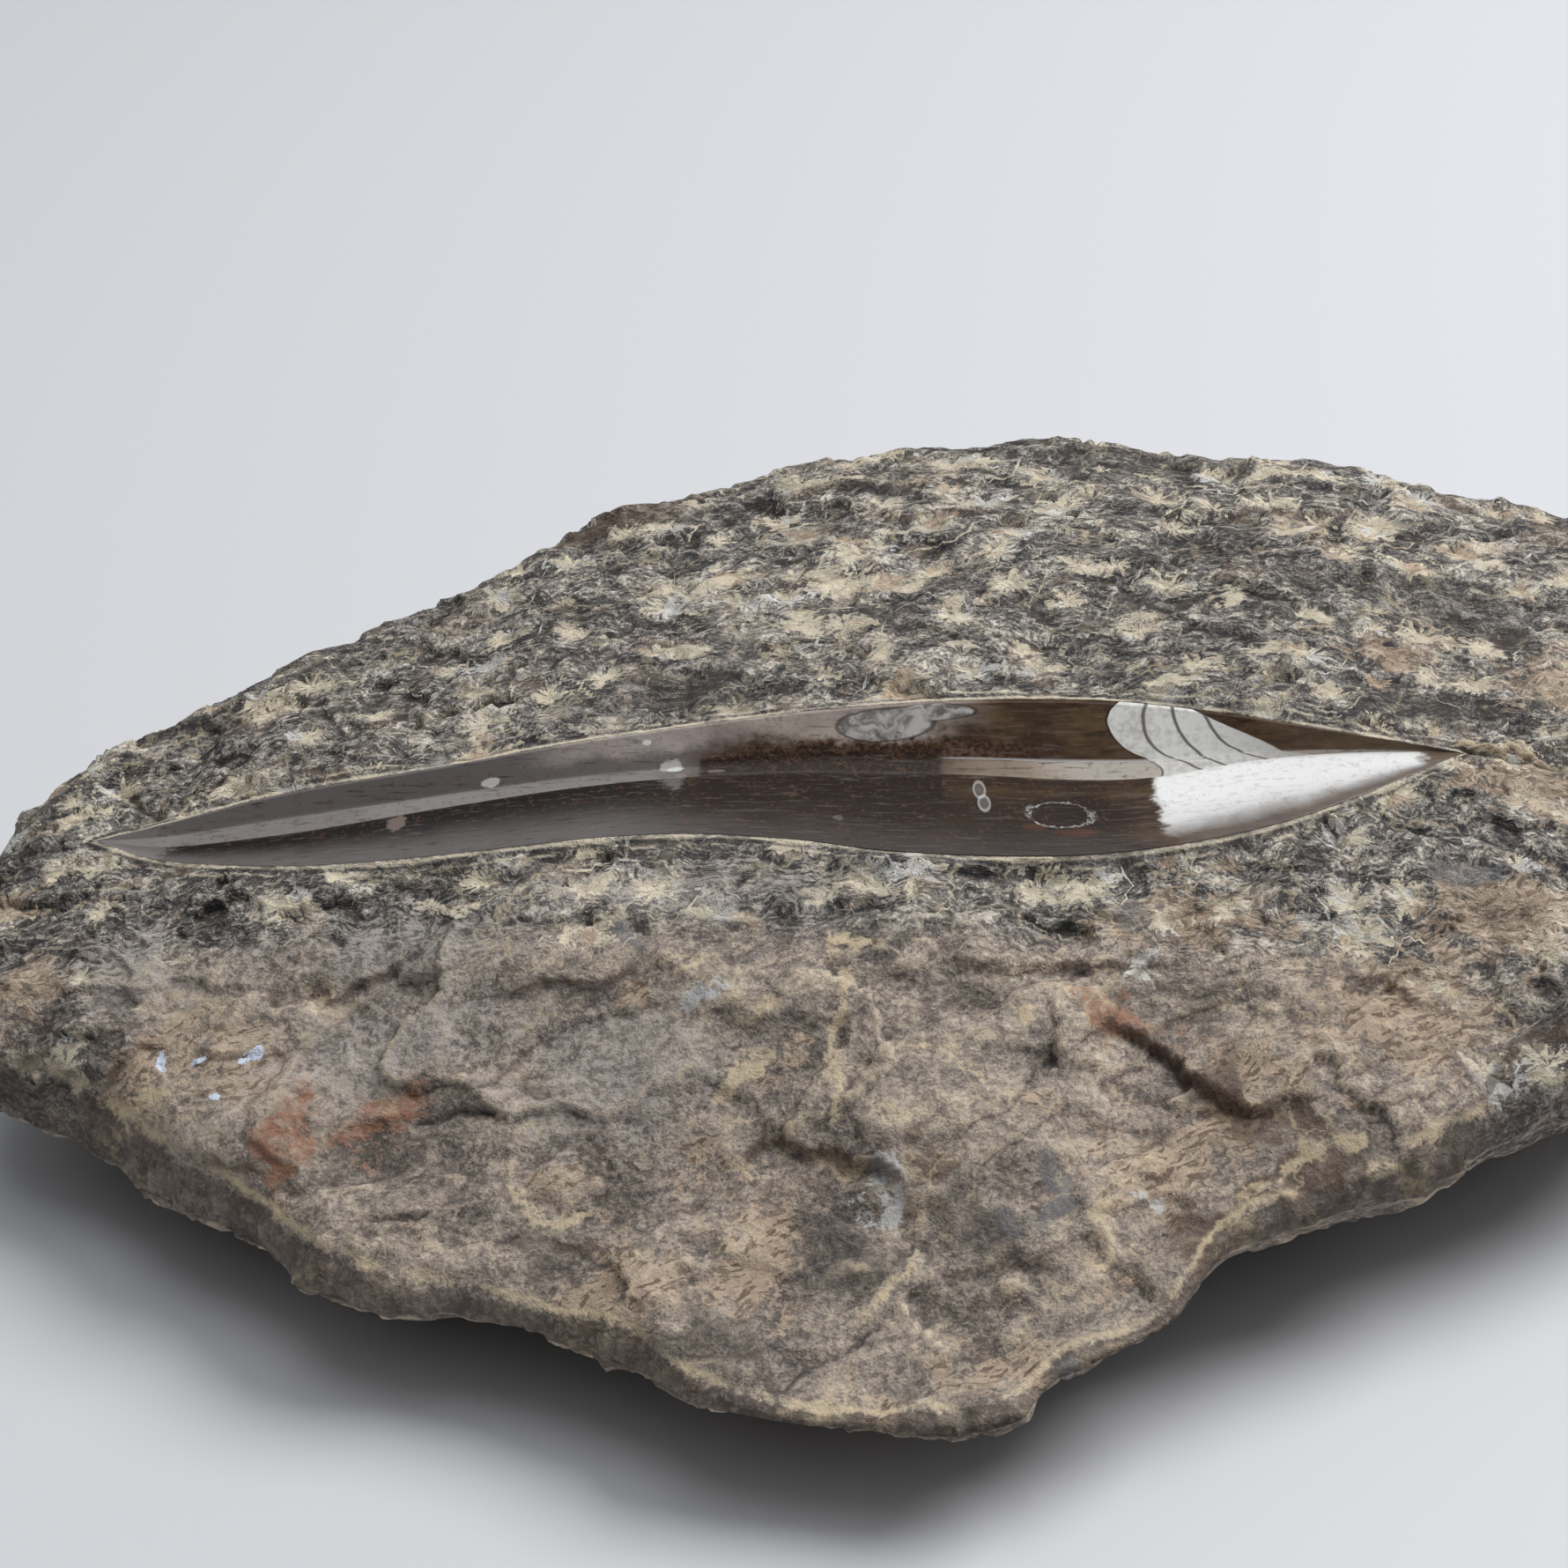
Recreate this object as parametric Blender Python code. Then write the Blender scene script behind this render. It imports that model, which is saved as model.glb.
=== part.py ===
# Orthoceras fossil plate: one rough slab of grey limestone, 212 mm long, with a straight-shelled
# cephalopod cut open along its middle. The polished cut is a shallow boat-shaped trough with a
# crease along it. The slab lies on a flat worn patch underneath.
import math

import bmesh
import bpy
import numpy as np
from mathutils import Vector, noise

MM = 0.001

# The slab's widest outline, anticlockwise from its right end: x, y and height above the table, mm.
RIM = [
    (106, 12, 24), (104, 31, 28), (96, 48, 31), (81, 60, 33), (65, 65, 33), (50, 70, 33),
    (34, 71, 34), (18, 75, 34), (2, 74, 33), (-12, 71, 32), (-25, 69, 32), (-36, 63, 31),
    (-46, 56, 30), (-56, 47, 30), (-70, 39, 29), (-82, 31, 28), (-91, 25, 27), (-99, 21, 26),
    (-105, 13, 24), (-109, 3, 22), (-110, -8, 18), (-109, -18, 15), (-104, -26, 14),
    (-95, -31, 13), (-86, -37, 13), (-77, -43, 13), (-68, -50, 13), (-59, -55, 13),
    (-50, -57, 13), (-40, -60, 13), (-32, -62, 13), (-27, -67, 13), (-18, -71, 13),
    (-6, -72, 13), (4, -71, 14), (10, -66, 15), (20, -62, 17), (27, -53, 19), (38, -49, 20),
    (51, -43, 20), (65, -35, 21), (80, -27, 22), (93, -16, 23), (102, -2, 23),
]
# Heights of the top face at places across it: x, y, z, mm. It is highest behind the fossil and
# falls towards the front edge.
CROWN = [
    (-40, 62, 39), (0, 69, 42), (40, 67, 42), (75, 55, 40), (98, 34, 34),
    (-72, 35, 34), (-42, 38, 41), (0, 38, 45), (40, 38, 45), (75, 36, 42),
    (-106, 5, 26), (-90, 6, 33), (-62, 8, 38), (-30, 8, 41), (0, 8, 42), (30, 8, 42.5),
    (60, 8, 42), (88, 8, 38), (106, 8, 31),
    (-102, -18, 24), (-72, -15, 34), (-32, -16, 37), (0, -16, 38), (40, -14, 39),
    (72, -12, 36), (95, -15, 29),
    (-80, -38, 20), (-52, -38, 26), (-20, -38, 29), (8, -38, 30), (34, -38, 26), (58, -36, 26),
    (-60, -52, 16), (-40, -60, 14.5), (-18, -67, 13.5), (4, -68, 13.5), (18, -58, 17),
]
CROWN_BLEND = 15        # how far each height reaches, mm
EDGE_ROUNDING = 8       # width of the worn shoulder inside the outline, mm

# The polished cut, from its left tip to its right tip: x and y of each rim, mm.
FAR_RIM = [(-96, 1), (-77, 3), (-57, 4.3), (-37, 6.8), (-17, 9.6), (3, 10.8), (18, 10.4),
           (33, 7.9), (44, 5.6), (58, 3.2)]
NEAR_RIM = [(-96, 1), (-88, -4), (-79, -7), (-69, -8.8), (-50, -9), (-29, -8.8), (-17, -10),
            (-6, -12), (7, -12.7), (20, -11.9), (34, -9), (46, -3.8), (58, 3.2)]
# Where the crease runs between the rims: x and share of the way from the near to the far rim.
CREASE = [(-96, 0.55), (-75, 0.64), (-56, 0.74), (-29, 0.74), (0, 0.73), (22, 0.68), (36, 0.82),
          (48, 0.92), (58, 0.95)]
DEEPEST = 4.6           # depth of the crease where the cut is widest, mm
WIDEST = 23.5           # width of the cut there, mm
FACET_REACH = 0.6       # the far wall is steep over this share of its width,
FACET_DROP = 0.84       # and drops this share of its depth there
NEAR_HOLLOW = 1.25      # above 1, the near wall is steepest at its rim

# The worn patch underneath, as shares of the outline about its own middle.
BASE_MIDDLE = (4, 14)
BASE_LENGTH_SHARE = 0.68
BASE_FRONT_SHARE = 0.5
BASE_BACK_SHARE = 0.74
BASE_BLEND = 30         # the shares change over this distance, mm
LIP_STRAIGHTNESS = 0.3  # 0 bulges under the front edge, 1 runs straight to the base

AROUND = 132            # points in each closed section
BELLY_STEPS = 7
SHOULDER = (0.02, 0.05, 0.1)
TOP_RINGS = (0.18, 0.3, 0.44, 0.58, 0.72, 0.85, 0.94, 1.0)
TROUGH_RINGS = (0.33, FACET_REACH, 1.0)
WELD = 0.02             # points nearer than this are one, mm

# Broken relief of the rough faces.
LUMP_SIZE = 17
LUMP_HEIGHT = 1.5
CHIP_SIZE = 6
CHIP_HEIGHT = 0.5


def clear_scene():
    for old in list(bpy.data.objects):
        bpy.data.objects.remove(old, do_unlink=True)


def catmull(before, start, end, after, share):
    """Point on the smooth curve from start to end at this share of the way."""
    return 0.5 * (
        2 * start
        + (end - before) * share
        + (2 * before - 5 * start + 4 * end - after) * share ** 2
        + (3 * start - before - 3 * end + after) * share ** 3
    )


def closed_curve(points, steps=12):
    """Dense smooth loop through the points."""
    corners = np.array(points, float)
    count = len(corners)
    dense = [
        catmull(*(corners[(k + offset) % count] for offset in (-1, 0, 1, 2)), step / steps)
        for k in range(count)
        for step in range(steps)
    ]
    return np.array(dense)


def along(points, x):
    """Value at x of the smooth curve through (x, value) points, flat at neither end."""
    xs = [p[0] for p in points]
    ys = [p[1] for p in points]
    k = min(max(int(np.searchsorted(xs, x, side="right")) - 1, 0), len(xs) - 2)
    width = xs[k + 1] - xs[k]
    share = (x - xs[k]) / width

    def slope(i):
        low, high = max(i - 1, 0), min(i + 1, len(xs) - 1)
        return (ys[high] - ys[low]) / (xs[high] - xs[low])

    cube, square = share ** 3, share ** 2
    return (
        (2 * cube - 3 * square + 1) * ys[k]
        + (cube - 2 * square + share) * width * slope(k)
        + (3 * square - 2 * cube) * ys[k + 1]
        + (cube - square) * width * slope(k + 1)
    )


def even_run(curve, count):
    """This many points at even distances along an open run of points, its last point left out."""
    lengths = np.linalg.norm(np.diff(curve[:, :2], axis=0), axis=1)
    travelled = np.concatenate([[0], np.cumsum(lengths)])
    wanted = np.arange(count) / count * travelled[-1]
    return np.stack([np.interp(wanted, travelled, curve[:, axis]) for axis in range(3)], axis=1)


def rim_section():
    """The slab's outline: one half behind the fossil from right to left, one half in front."""
    loop = closed_curve(RIM)
    left_end = int(np.argmin(loop[:, 0]))
    behind = loop[:left_end + 1]
    front = np.vstack([loop[left_end:], loop[:1]])
    half = AROUND // 2
    return np.vstack([even_run(behind, half), even_run(front, half)])


def crown_height(x, y):
    spots = np.array(CROWN, float)
    away = (spots[:, 0] - x) ** 2 + (spots[:, 1] - y) ** 2
    weight = np.exp(-away / (2 * CROWN_BLEND ** 2)) + 1e-9 / (1 + away)
    return float((weight * spots[:, 2]).sum() / weight.sum())


def fossil_x(k):
    """Place along the fossil of section point k, closest together at the tips."""
    left, right = FAR_RIM[0][0], FAR_RIM[-1][0]
    turn = math.cos(2 * math.pi * k / AROUND)
    return (left + right) / 2 + (right - left) / 2 * turn


def trough_point(k, reach):
    """Point k of the trough, at this share of the way from its rim to the crease."""
    x = fossil_x(k)
    far, near = along(FAR_RIM, x), along(NEAR_RIM, x)
    crease = near + (far - near) * along(CREASE, x)
    depth = DEEPEST * (far - near) / WIDEST
    on_far_side = k <= AROUND // 2
    rim = far if on_far_side else near
    y = rim + (crease - rim) * reach
    across = (y - near) / max(far - near, 1e-6)
    level = crown_height(x, near) * (1 - across) + crown_height(x, far) * across
    if on_far_side:
        drop = np.interp(reach, [0, FACET_REACH, 1], [0, FACET_DROP, 1])
    else:
        drop = 1 - (1 - reach) ** NEAR_HOLLOW
    return (x, y, level - depth * drop)


def base_point(rim):
    x = BASE_MIDDLE[0] + (rim[0] - BASE_MIDDLE[0]) * BASE_LENGTH_SHARE
    ahead = rim[1] - BASE_MIDDLE[1]
    towards_back = 0.5 + 0.5 * math.tanh(ahead / BASE_BLEND)
    share = BASE_FRONT_SHARE + (BASE_BACK_SHARE - BASE_FRONT_SHARE) * towards_back
    return (x, BASE_MIDDLE[1] + ahead * share, 0)


def belly_point(rim, turn):
    """Point under the rim: turn runs from 0 at the rim to 1 at the base. The back bulges like a
    quarter circle, and the front runs straighter, as an overhanging lip."""
    base = base_point(rim)
    towards_front = 0.5 - 0.5 * math.tanh((rim[1] - BASE_MIDDLE[1]) / BASE_BLEND)
    power = 1 + LIP_STRAIGHTNESS * towards_front
    out = math.cos(turn * math.pi / 2) ** power if turn < 1 else 0
    height = 1 - math.sin(turn * math.pi / 2) ** power
    return (base[0] + (rim[0] - base[0]) * out, base[1] + (rim[1] - base[1]) * out, rim[2] * height)


def top_point(rim, k, share):
    """Point of the top face at this share of the way from the rim to the fossil."""
    inner = trough_point(k, 0)
    x = rim[0] + (inner[0] - rim[0]) * share
    y = rim[1] + (inner[1] - rim[1]) * share
    inside = math.hypot(x - rim[0], y - rim[1])
    shoulder = 1 - max(1 - inside / EDGE_ROUNDING, 0) ** 2
    return (x, y, rim[2] + (crown_height(x, y) - rim[2]) * math.sqrt(shoulder))


def sections():
    """All closed sections from the base to the crease, each with the strength of its relief."""
    rim = rim_section()
    points = range(AROUND)
    rings = [([base_point(r) for r in rim], 0)]
    for step in range(BELLY_STEPS - 1, 0, -1):
        turn = step / BELLY_STEPS
        rings.append(([belly_point(r, turn) for r in rim], 1 - turn))
    rings.append(([tuple(r) for r in rim], 1))
    for share in SHOULDER + TOP_RINGS:
        strength = min((1 - share) / 0.15, 1)
        rings.append(([top_point(rim[k], k, share) for k in points], strength))
    for reach in TROUGH_RINGS:
        rings.append(([trough_point(k, reach) for k in points], 0))
    return rings


def loft(rings):
    """Closed mesh through the sections, in mm, with the relief strength of each point."""
    mesh = bmesh.new()
    relief = mesh.verts.layers.float.new("relief")
    rows = []
    for ring, strength in rings:
        row = [mesh.verts.new(point) for point in ring]
        for vert in row:
            vert[relief] = strength
        rows.append(row)
    mesh.faces.new(reversed(rows[0]))
    for lower, upper in zip(rows, rows[1:]):
        for k in range(AROUND):
            after = (k + 1) % AROUND
            mesh.faces.new((lower[k], lower[after], upper[after], upper[k]))
    bmesh.ops.remove_doubles(mesh, verts=mesh.verts, dist=WELD)
    bmesh.ops.dissolve_degenerate(mesh, edges=mesh.edges, dist=WELD)
    bmesh.ops.recalc_face_normals(mesh, faces=mesh.faces)
    return mesh


def roughen(mesh):
    """Lumps and chips on the rough faces, along their normals."""
    relief = mesh.verts.layers.float["relief"]
    mesh.normal_update()
    moves = {}
    for vert in mesh.verts:
        lump = noise.noise(vert.co / LUMP_SIZE) * LUMP_HEIGHT
        chip = noise.noise(vert.co / CHIP_SIZE + Vector((31, 7, 12))) * CHIP_HEIGHT
        moves[vert] = vert.normal * (lump + chip) * vert[relief]
    for vert, move in moves.items():
        vert.co += move


def centre_on_origin(mesh):
    """The middle of the slab's box over the origin, and the worn patch at height zero."""
    low = [min(vert.co[axis] for vert in mesh.verts) for axis in range(3)]
    high = [max(vert.co[axis] for vert in mesh.verts) for axis in range(3)]
    middle = Vector(((low[0] + high[0]) / 2, (low[1] + high[1]) / 2, low[2]))
    bmesh.ops.translate(mesh, verts=mesh.verts, vec=-middle)
    bmesh.ops.scale(mesh, verts=mesh.verts, vec=(MM, MM, MM))


def limestone():
    material = bpy.data.materials.new("grey limestone")
    material.use_nodes = True
    shader = material.node_tree.nodes["Principled BSDF"]
    shader.inputs["Base Color"].default_value = (0.2, 0.18, 0.155, 1)
    shader.inputs["Roughness"].default_value = 0.85
    shader.inputs["Metallic"].default_value = 0
    return material


def fossil_plate(collection):
    mesh = loft(sections())
    roughen(mesh)
    centre_on_origin(mesh)
    data = bpy.data.meshes.new("fossil_plate")
    mesh.to_mesh(data)
    mesh.free()
    data.materials.append(limestone())
    data.shade_smooth()
    data.set_sharp_from_angle(angle=math.radians(25))
    plate = bpy.data.objects.new("fossil_plate", data)
    collection.objects.link(plate)


def main():
    clear_scene()
    parts = bpy.data.collections.new("orthoceras fossil plate")
    bpy.context.scene.collection.children.link(parts)
    fossil_plate(parts)


main()
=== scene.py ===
import math

import bmesh
import bpy
import numpy as np
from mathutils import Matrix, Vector, noise


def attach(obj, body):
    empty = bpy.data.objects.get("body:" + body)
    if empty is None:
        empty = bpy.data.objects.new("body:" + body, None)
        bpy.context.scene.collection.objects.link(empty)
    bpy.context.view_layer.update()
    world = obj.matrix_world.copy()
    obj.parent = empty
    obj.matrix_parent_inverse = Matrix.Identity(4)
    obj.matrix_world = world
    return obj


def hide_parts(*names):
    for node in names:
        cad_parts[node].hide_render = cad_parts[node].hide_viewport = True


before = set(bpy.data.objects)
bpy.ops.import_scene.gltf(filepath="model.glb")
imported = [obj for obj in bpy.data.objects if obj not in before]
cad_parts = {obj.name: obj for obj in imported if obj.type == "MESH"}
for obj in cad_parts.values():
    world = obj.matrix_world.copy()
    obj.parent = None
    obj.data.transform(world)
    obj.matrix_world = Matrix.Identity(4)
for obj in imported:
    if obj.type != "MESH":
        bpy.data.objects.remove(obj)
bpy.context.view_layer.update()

mm = 0.001

# Camera, floor and light of a pale product table.
studio = dict(
    aim=(-0.0161, -0.0046, 0.040),
    elevation=36,
    fieldOfView=30,
    distance=0.322,
    floorColour=(0.72, 0.73, 0.76),
    floorRoughness=0.6,
    floorSize=12,
    backdrop=0.6,                 # what the camera sees past the floor's edge
    skyColour=(0.94, 0.97, 1.0, 1),
    skyLow=0.01,                  # strength in front, near the floor
    skyHigh=0.41,                 # strength overhead and behind
    skyTowards=(0.1, 0.3, 0.95),
    keyPlace=(0.66, 0.3, 1.0),
    keySize=0.75,
    keyPower=11.9,
    topPlace=(-0.12, 0.1, 1.3),
    topSize=0.8,
    topPower=2.6,
)

# Shape of the slab, in mm: the same outline, crown and cut as the solid it stands on.
slab = dict(
    rim=[
        (106, 12, 24), (104, 31, 28), (96, 48, 31), (81, 60, 33), (65, 65, 33), (50, 70, 33),
        (34, 71, 34), (18, 75, 34), (2, 74, 33), (-12, 71, 32), (-25, 69, 32), (-36, 63, 31),
        (-46, 56, 30), (-56, 47, 30), (-70, 39, 29), (-82, 31, 28), (-91, 25, 27), (-99, 21, 26),
        (-105, 13, 24), (-109, 3, 22), (-110, -8, 18), (-109, -18, 15), (-104, -26, 14),
        (-95, -31, 13), (-86, -37, 13), (-77, -43, 13), (-68, -50, 13), (-59, -55, 13),
        (-50, -57, 13), (-40, -60, 13), (-32, -62, 13), (-27, -67, 13), (-18, -71, 13),
        (-6, -72, 13), (4, -71, 14), (10, -66, 15), (20, -62, 17), (27, -53, 19), (38, -49, 20),
        (51, -43, 20), (65, -35, 21), (80, -27, 22), (93, -16, 23), (102, -2, 23),
    ],
    crown=[
        (-40, 62, 39), (0, 69, 42), (40, 67, 42), (75, 55, 40), (98, 34, 34),
        (-72, 35, 34), (-42, 38, 41), (0, 38, 45), (40, 38, 45), (75, 36, 42),
        (-106, 5, 26), (-90, 6, 33), (-62, 8, 38), (-30, 8, 41), (0, 8, 42), (30, 8, 42.5),
        (60, 8, 42), (88, 8, 38), (106, 8, 31),
        (-102, -18, 24), (-72, -15, 34), (-32, -16, 37), (0, -16, 38), (40, -14, 39),
        (72, -12, 36), (95, -15, 29),
        (-80, -38, 20), (-52, -38, 26), (-20, -38, 29), (8, -38, 30), (34, -38, 26),
        (58, -36, 26),
        (-60, -52, 16), (-40, -60, 14.5), (-18, -67, 13.5), (4, -68, 13.5), (18, -58, 17),
    ],
    crownBlend=15,
    edgeRounding=8,
    baseMiddle=(4, 14),
    baseLengthShare=0.68,
    baseFrontShare=0.5,
    baseBackShare=0.74,
    baseBlend=30,
    lipStraightness=0.3,
    lumpSize=17,
    lumpHeight=1.5,
    chipSize=6,
    chipHeight=0.5,
    around=840,
    baseRings=8,
    bellyRings=30,
    topRings=98,
    seamSteps=(2.6, 2.0, 1.5, 1.1, 0.75, 0.45, 0.2, 0),
    seamFade=2.2,
    capInset=3.5,
    capDrop=1.2,
    heartHeight=9.5,
    weld=0.004,
)

# The polished cut across the fossil, in mm.
cut = dict(
    farRim=[(-96, 1), (-77, 3), (-57, 4.3), (-37, 6.8), (-17, 9.6), (3, 10.8), (18, 10.4),
            (33, 7.9), (44, 5.6), (58, 3.2)],
    nearRim=[(-96, 1), (-88, -4), (-79, -7), (-69, -8.8), (-50, -9), (-29, -8.8), (-17, -10),
             (-6, -12), (7, -12.7), (20, -11.9), (34, -9), (46, -3.8), (58, 3.2)],
    crease=[(-96, 0.55), (-75, 0.64), (-56, 0.74), (-29, 0.74), (0, 0.73), (22, 0.68),
            (36, 0.82), (48, 0.92), (58, 0.95)],
    deepest=4.6,
    widest=23.5,
    facetReach=[(-96, 0.4), (-75, 0.45), (-56, 0.55), (-36, 0.72), (0, 0.74), (22, 0.72),
                (36, 0.78), (58, 0.82)],
    facetDrop=0.84,
    nearHollow=1.25,
    rings=22,
    skin=1.5,
    bedding=0.6,
)


def operator(operation, reflected=False):
    def made(wire, other):
        return wire.bench.maths(operation, *((other, wire) if reflected else (wire, other)))
    return made


class Wire:                       # one output socket that can be used in arithmetic
    __add__, __radd__ = operator("ADD"), operator("ADD", True)
    __sub__, __rsub__ = operator("SUBTRACT"), operator("SUBTRACT", True)
    __mul__, __rmul__ = operator("MULTIPLY"), operator("MULTIPLY", True)
    __truediv__, __rtruediv__ = operator("DIVIDE"), operator("DIVIDE", True)

    def __init__(self, bench, socket):
        self.bench = bench
        self.socket = socket


class Bench:                      # makes nodes in one tree; a colour can be given by its name in look
    def __init__(self, tree, look=None):
        self.tree = tree
        self.look = look
        self.colour = None

    def node(self, kind, settings=None, inputs=None, out=0):
        made = self.tree.nodes.new(kind)
        for name, value in (settings or {}).items():
            if name == "stops":
                self.setStops(made.color_ramp, value)
            else:
                setattr(made, name, value)
        for name, value in (inputs or {}).items():
            self.feed(made.inputs[name], value)
        return Wire(self, made.outputs[out])

    def feed(self, socket, value):
        if isinstance(value, Wire):
            self.tree.links.new(value.socket, socket)
        elif value is not None:
            socket.default_value = value

    def setStops(self, ramp, stops):
        while len(ramp.elements) < len(stops):
            ramp.elements.new(1)
        for element, (place, colour) in zip(ramp.elements, stops):
            element.position = place
            element.color = (*colour, 1)

    def maths(self, operation, first, second=None):
        vectors = any(
            isinstance(w, Wire) and w.socket.type in ("VECTOR", "RGBA") for w in (first, second))
        if vectors:
            first, second = ((w,) * 3 if isinstance(w, (int, float)) else w for w in (first, second))
        kind = "ShaderNodeVectorMath" if vectors else "ShaderNodeMath"
        return self.node(kind, dict(operation=operation), {0: first, 1: second})

    def measure(self, operation, first, second=None):      # a number out of one or two vectors
        return self.node(
            "ShaderNodeVectorMath", dict(operation=operation), {0: first, 1: second}, out="Value")

    def axis(self, value, name):
        return self.node("ShaderNodeSeparateXYZ", None, {0: value}, out=name)

    def flatVector(self, x, y):
        return self.node("ShaderNodeCombineXYZ", None, {0: x, 1: y})

    def turned(self, place, angle):
        return self.node(
            "ShaderNodeVectorRotate", dict(rotation_type="Z_AXIS"),
            {"Vector": place, "Angle": angle})

    def blend(self, share, first, second):
        first, second = ((*self.look[c], 1) if isinstance(c, str) else c for c in (first, second))
        return self.node(
            "ShaderNodeMix", dict(data_type="RGBA"), {0: share, 6: first, 7: second}, out=2)

    def coat(self, share, over):                           # one more colour laid over the stone
        self.colour = self.blend(share, self.colour, over)

    def slide(self, share, first, second):
        return first + (second - first) * share

    def fade(self, value, low, high, start=0.0, end=1.0):
        return self.node(
            "ShaderNodeMapRange", dict(interpolation_type="SMOOTHSTEP"),
            {"Value": value, "From Min": low, "From Max": high, "To Min": start, "To Max": end})

    def near(self, value, level, reach):                   # 1 on the line where value is level
        return self.fade(self.maths("ABSOLUTE", value - level), reach, 0.0)

    def cloud(self, place, size, detail=3.0, roughness=0.5, seed=0.0, out="Fac"):
        moved = place + (seed * 13.1, seed * 7.7, seed * 5.3)
        return self.node(
            "ShaderNodeTexNoise", None,
            {"Vector": moved, "Scale": 1 / size, "Detail": detail, "Roughness": roughness},
            out=out)

    def bend(self, place, size, seed, roughness=0.5):      # a noise that pushes places about
        return self.cloud(place, size, 2, roughness, seed, out="Color") - (0.5, 0.5, 0.5)

    def cells(self, place, size, out, dimensions="3D"):
        return self.node(
            "ShaderNodeTexVoronoi", dict(voronoi_dimensions=dimensions),
            {"Vector": place, "Scale": 1 / size}, out=out)

    def curve(self, value, points):                        # value and result run from 0 to 1
        made = self.tree.nodes.new("ShaderNodeFloatCurve")
        line = made.mapping.curves[0]
        for place, height in points[1:-1]:
            line.points.new(place, height)
        line.points[0].location = points[0]
        line.points[-1].location = points[-1]
        made.mapping.update()
        self.feed(made.inputs["Value"], value)
        return Wire(self, made.outputs[0])

    def attribute(self, name, out="Fac"):
        return self.node("ShaderNodeAttribute", dict(attribute_name=name), out=out)


def addObject(name, data):
    made = bpy.data.objects.new(name, data)
    bpy.context.scene.collection.objects.link(made)
    return made


def catmull(before, start, end, after, share):
    return 0.5 * (
        2 * start
        + (end - before) * share
        + (2 * before - 5 * start + 4 * end - after) * share ** 2
        + (3 * start - before - 3 * end + after) * share ** 3
    )


def closedCurve(points, steps=12):
    corners = np.array(points, float)
    count = len(corners)
    return np.array([
        catmull(*(corners[(k + offset) % count] for offset in (-1, 0, 1, 2)), step / steps)
        for k in range(count)
        for step in range(steps)
    ])


def along(points, x):             # smooth value at x through (x, value) points
    xs, ys = (np.array(column, float) for column in zip(*points))
    k = np.clip(np.searchsorted(xs, x, side="right") - 1, 0, len(xs) - 2)
    width = xs[k + 1] - xs[k]
    share = (x - xs[k]) / width

    def slope(i):
        low, high = np.maximum(i - 1, 0), np.minimum(i + 1, len(xs) - 1)
        return (ys[high] - ys[low]) / (xs[high] - xs[low])

    cube, square = share ** 3, share ** 2
    return (
        (2 * cube - 3 * square + 1) * ys[k]
        + (cube - 2 * square + share) * width * slope(k)
        + (3 * square - 2 * cube) * ys[k + 1]
        + (cube - square) * width * slope(k + 1)
    )


def evenRun(run, count):
    lengths = np.linalg.norm(np.diff(run[:, :2], axis=0), axis=1)
    travelled = np.concatenate([[0], np.cumsum(lengths)])
    wanted = np.arange(count) / count * travelled[-1]
    return np.stack([np.interp(wanted, travelled, run[:, axis]) for axis in range(3)], axis=1)


def rimSection(count):
    loop = closedCurve(slab["rim"])
    leftEnd = int(np.argmin(loop[:, 0]))
    behind = loop[:leftEnd + 1]
    front = np.vstack([loop[leftEnd:], loop[:1]])
    return np.vstack([evenRun(behind, count // 2), evenRun(front, count // 2)])


def crownHeight(x, y):
    total, weights = np.zeros_like(x), np.zeros_like(x)
    for spotX, spotY, height in slab["crown"]:
        away = (spotX - x) ** 2 + (spotY - y) ** 2
        weight = np.exp(-away / (2 * slab["crownBlend"] ** 2)) + 1e-9 / (1 + away)
        total += weight * height
        weights += weight
    return total / weights


def troughSection(count, reach, sunk=0.0):
    left, right = cut["farRim"][0][0], cut["farRim"][-1][0]
    k = np.arange(count)
    x = (left + right) / 2 + (right - left) / 2 * np.cos(2 * np.pi * k / count)
    far, near = along(cut["farRim"], x), along(cut["nearRim"], x)
    crease = near + (far - near) * along(cut["crease"], x)
    depth = cut["deepest"] * (far - near) / cut["widest"]
    farSide = k <= count // 2
    rim = np.where(farSide, far, near)
    y = rim + (crease - rim) * reach
    across = (y - near) / np.maximum(far - near, 1e-6)
    level = crownHeight(x, near) * (1 - across) + crownHeight(x, far) * across
    edge = along(cut["facetReach"], x)
    farDrop = np.where(
        reach < edge, reach / edge * cut["facetDrop"],
        cut["facetDrop"] + (1 - cut["facetDrop"]) * (reach - edge) / (1 - edge))
    nearDrop = 1 - (1 - reach) ** cut["nearHollow"]
    z = level - depth * np.where(farSide, farDrop, nearDrop) - sunk
    return np.stack([x, y, z], axis=1)


def baseSection(rim, share=1.0):
    middleX, middleY = slab["baseMiddle"]
    ahead = rim[:, 1] - middleY
    towardsBack = 0.5 + 0.5 * np.tanh(ahead / slab["baseBlend"])
    widthShare = slab["baseFrontShare"] + (
        slab["baseBackShare"] - slab["baseFrontShare"]) * towardsBack
    x = middleX + (rim[:, 0] - middleX) * slab["baseLengthShare"] * share
    y = middleY + ahead * widthShare * share
    return np.stack([x, y, np.zeros(len(rim))], axis=1)


def bellySection(rim, turn):
    base = baseSection(rim)
    towardsFront = 0.5 - 0.5 * np.tanh((rim[:, 1] - slab["baseMiddle"][1]) / slab["baseBlend"])
    power = 1 + slab["lipStraightness"] * towardsFront
    out = (math.cos(turn * math.pi / 2) ** power)[:, None]
    height = 1 - math.sin(turn * math.pi / 2) ** power
    plan = base[:, :2] + (rim[:, :2] - base[:, :2]) * out
    return np.column_stack([plan, rim[:, 2] * height])


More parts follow.
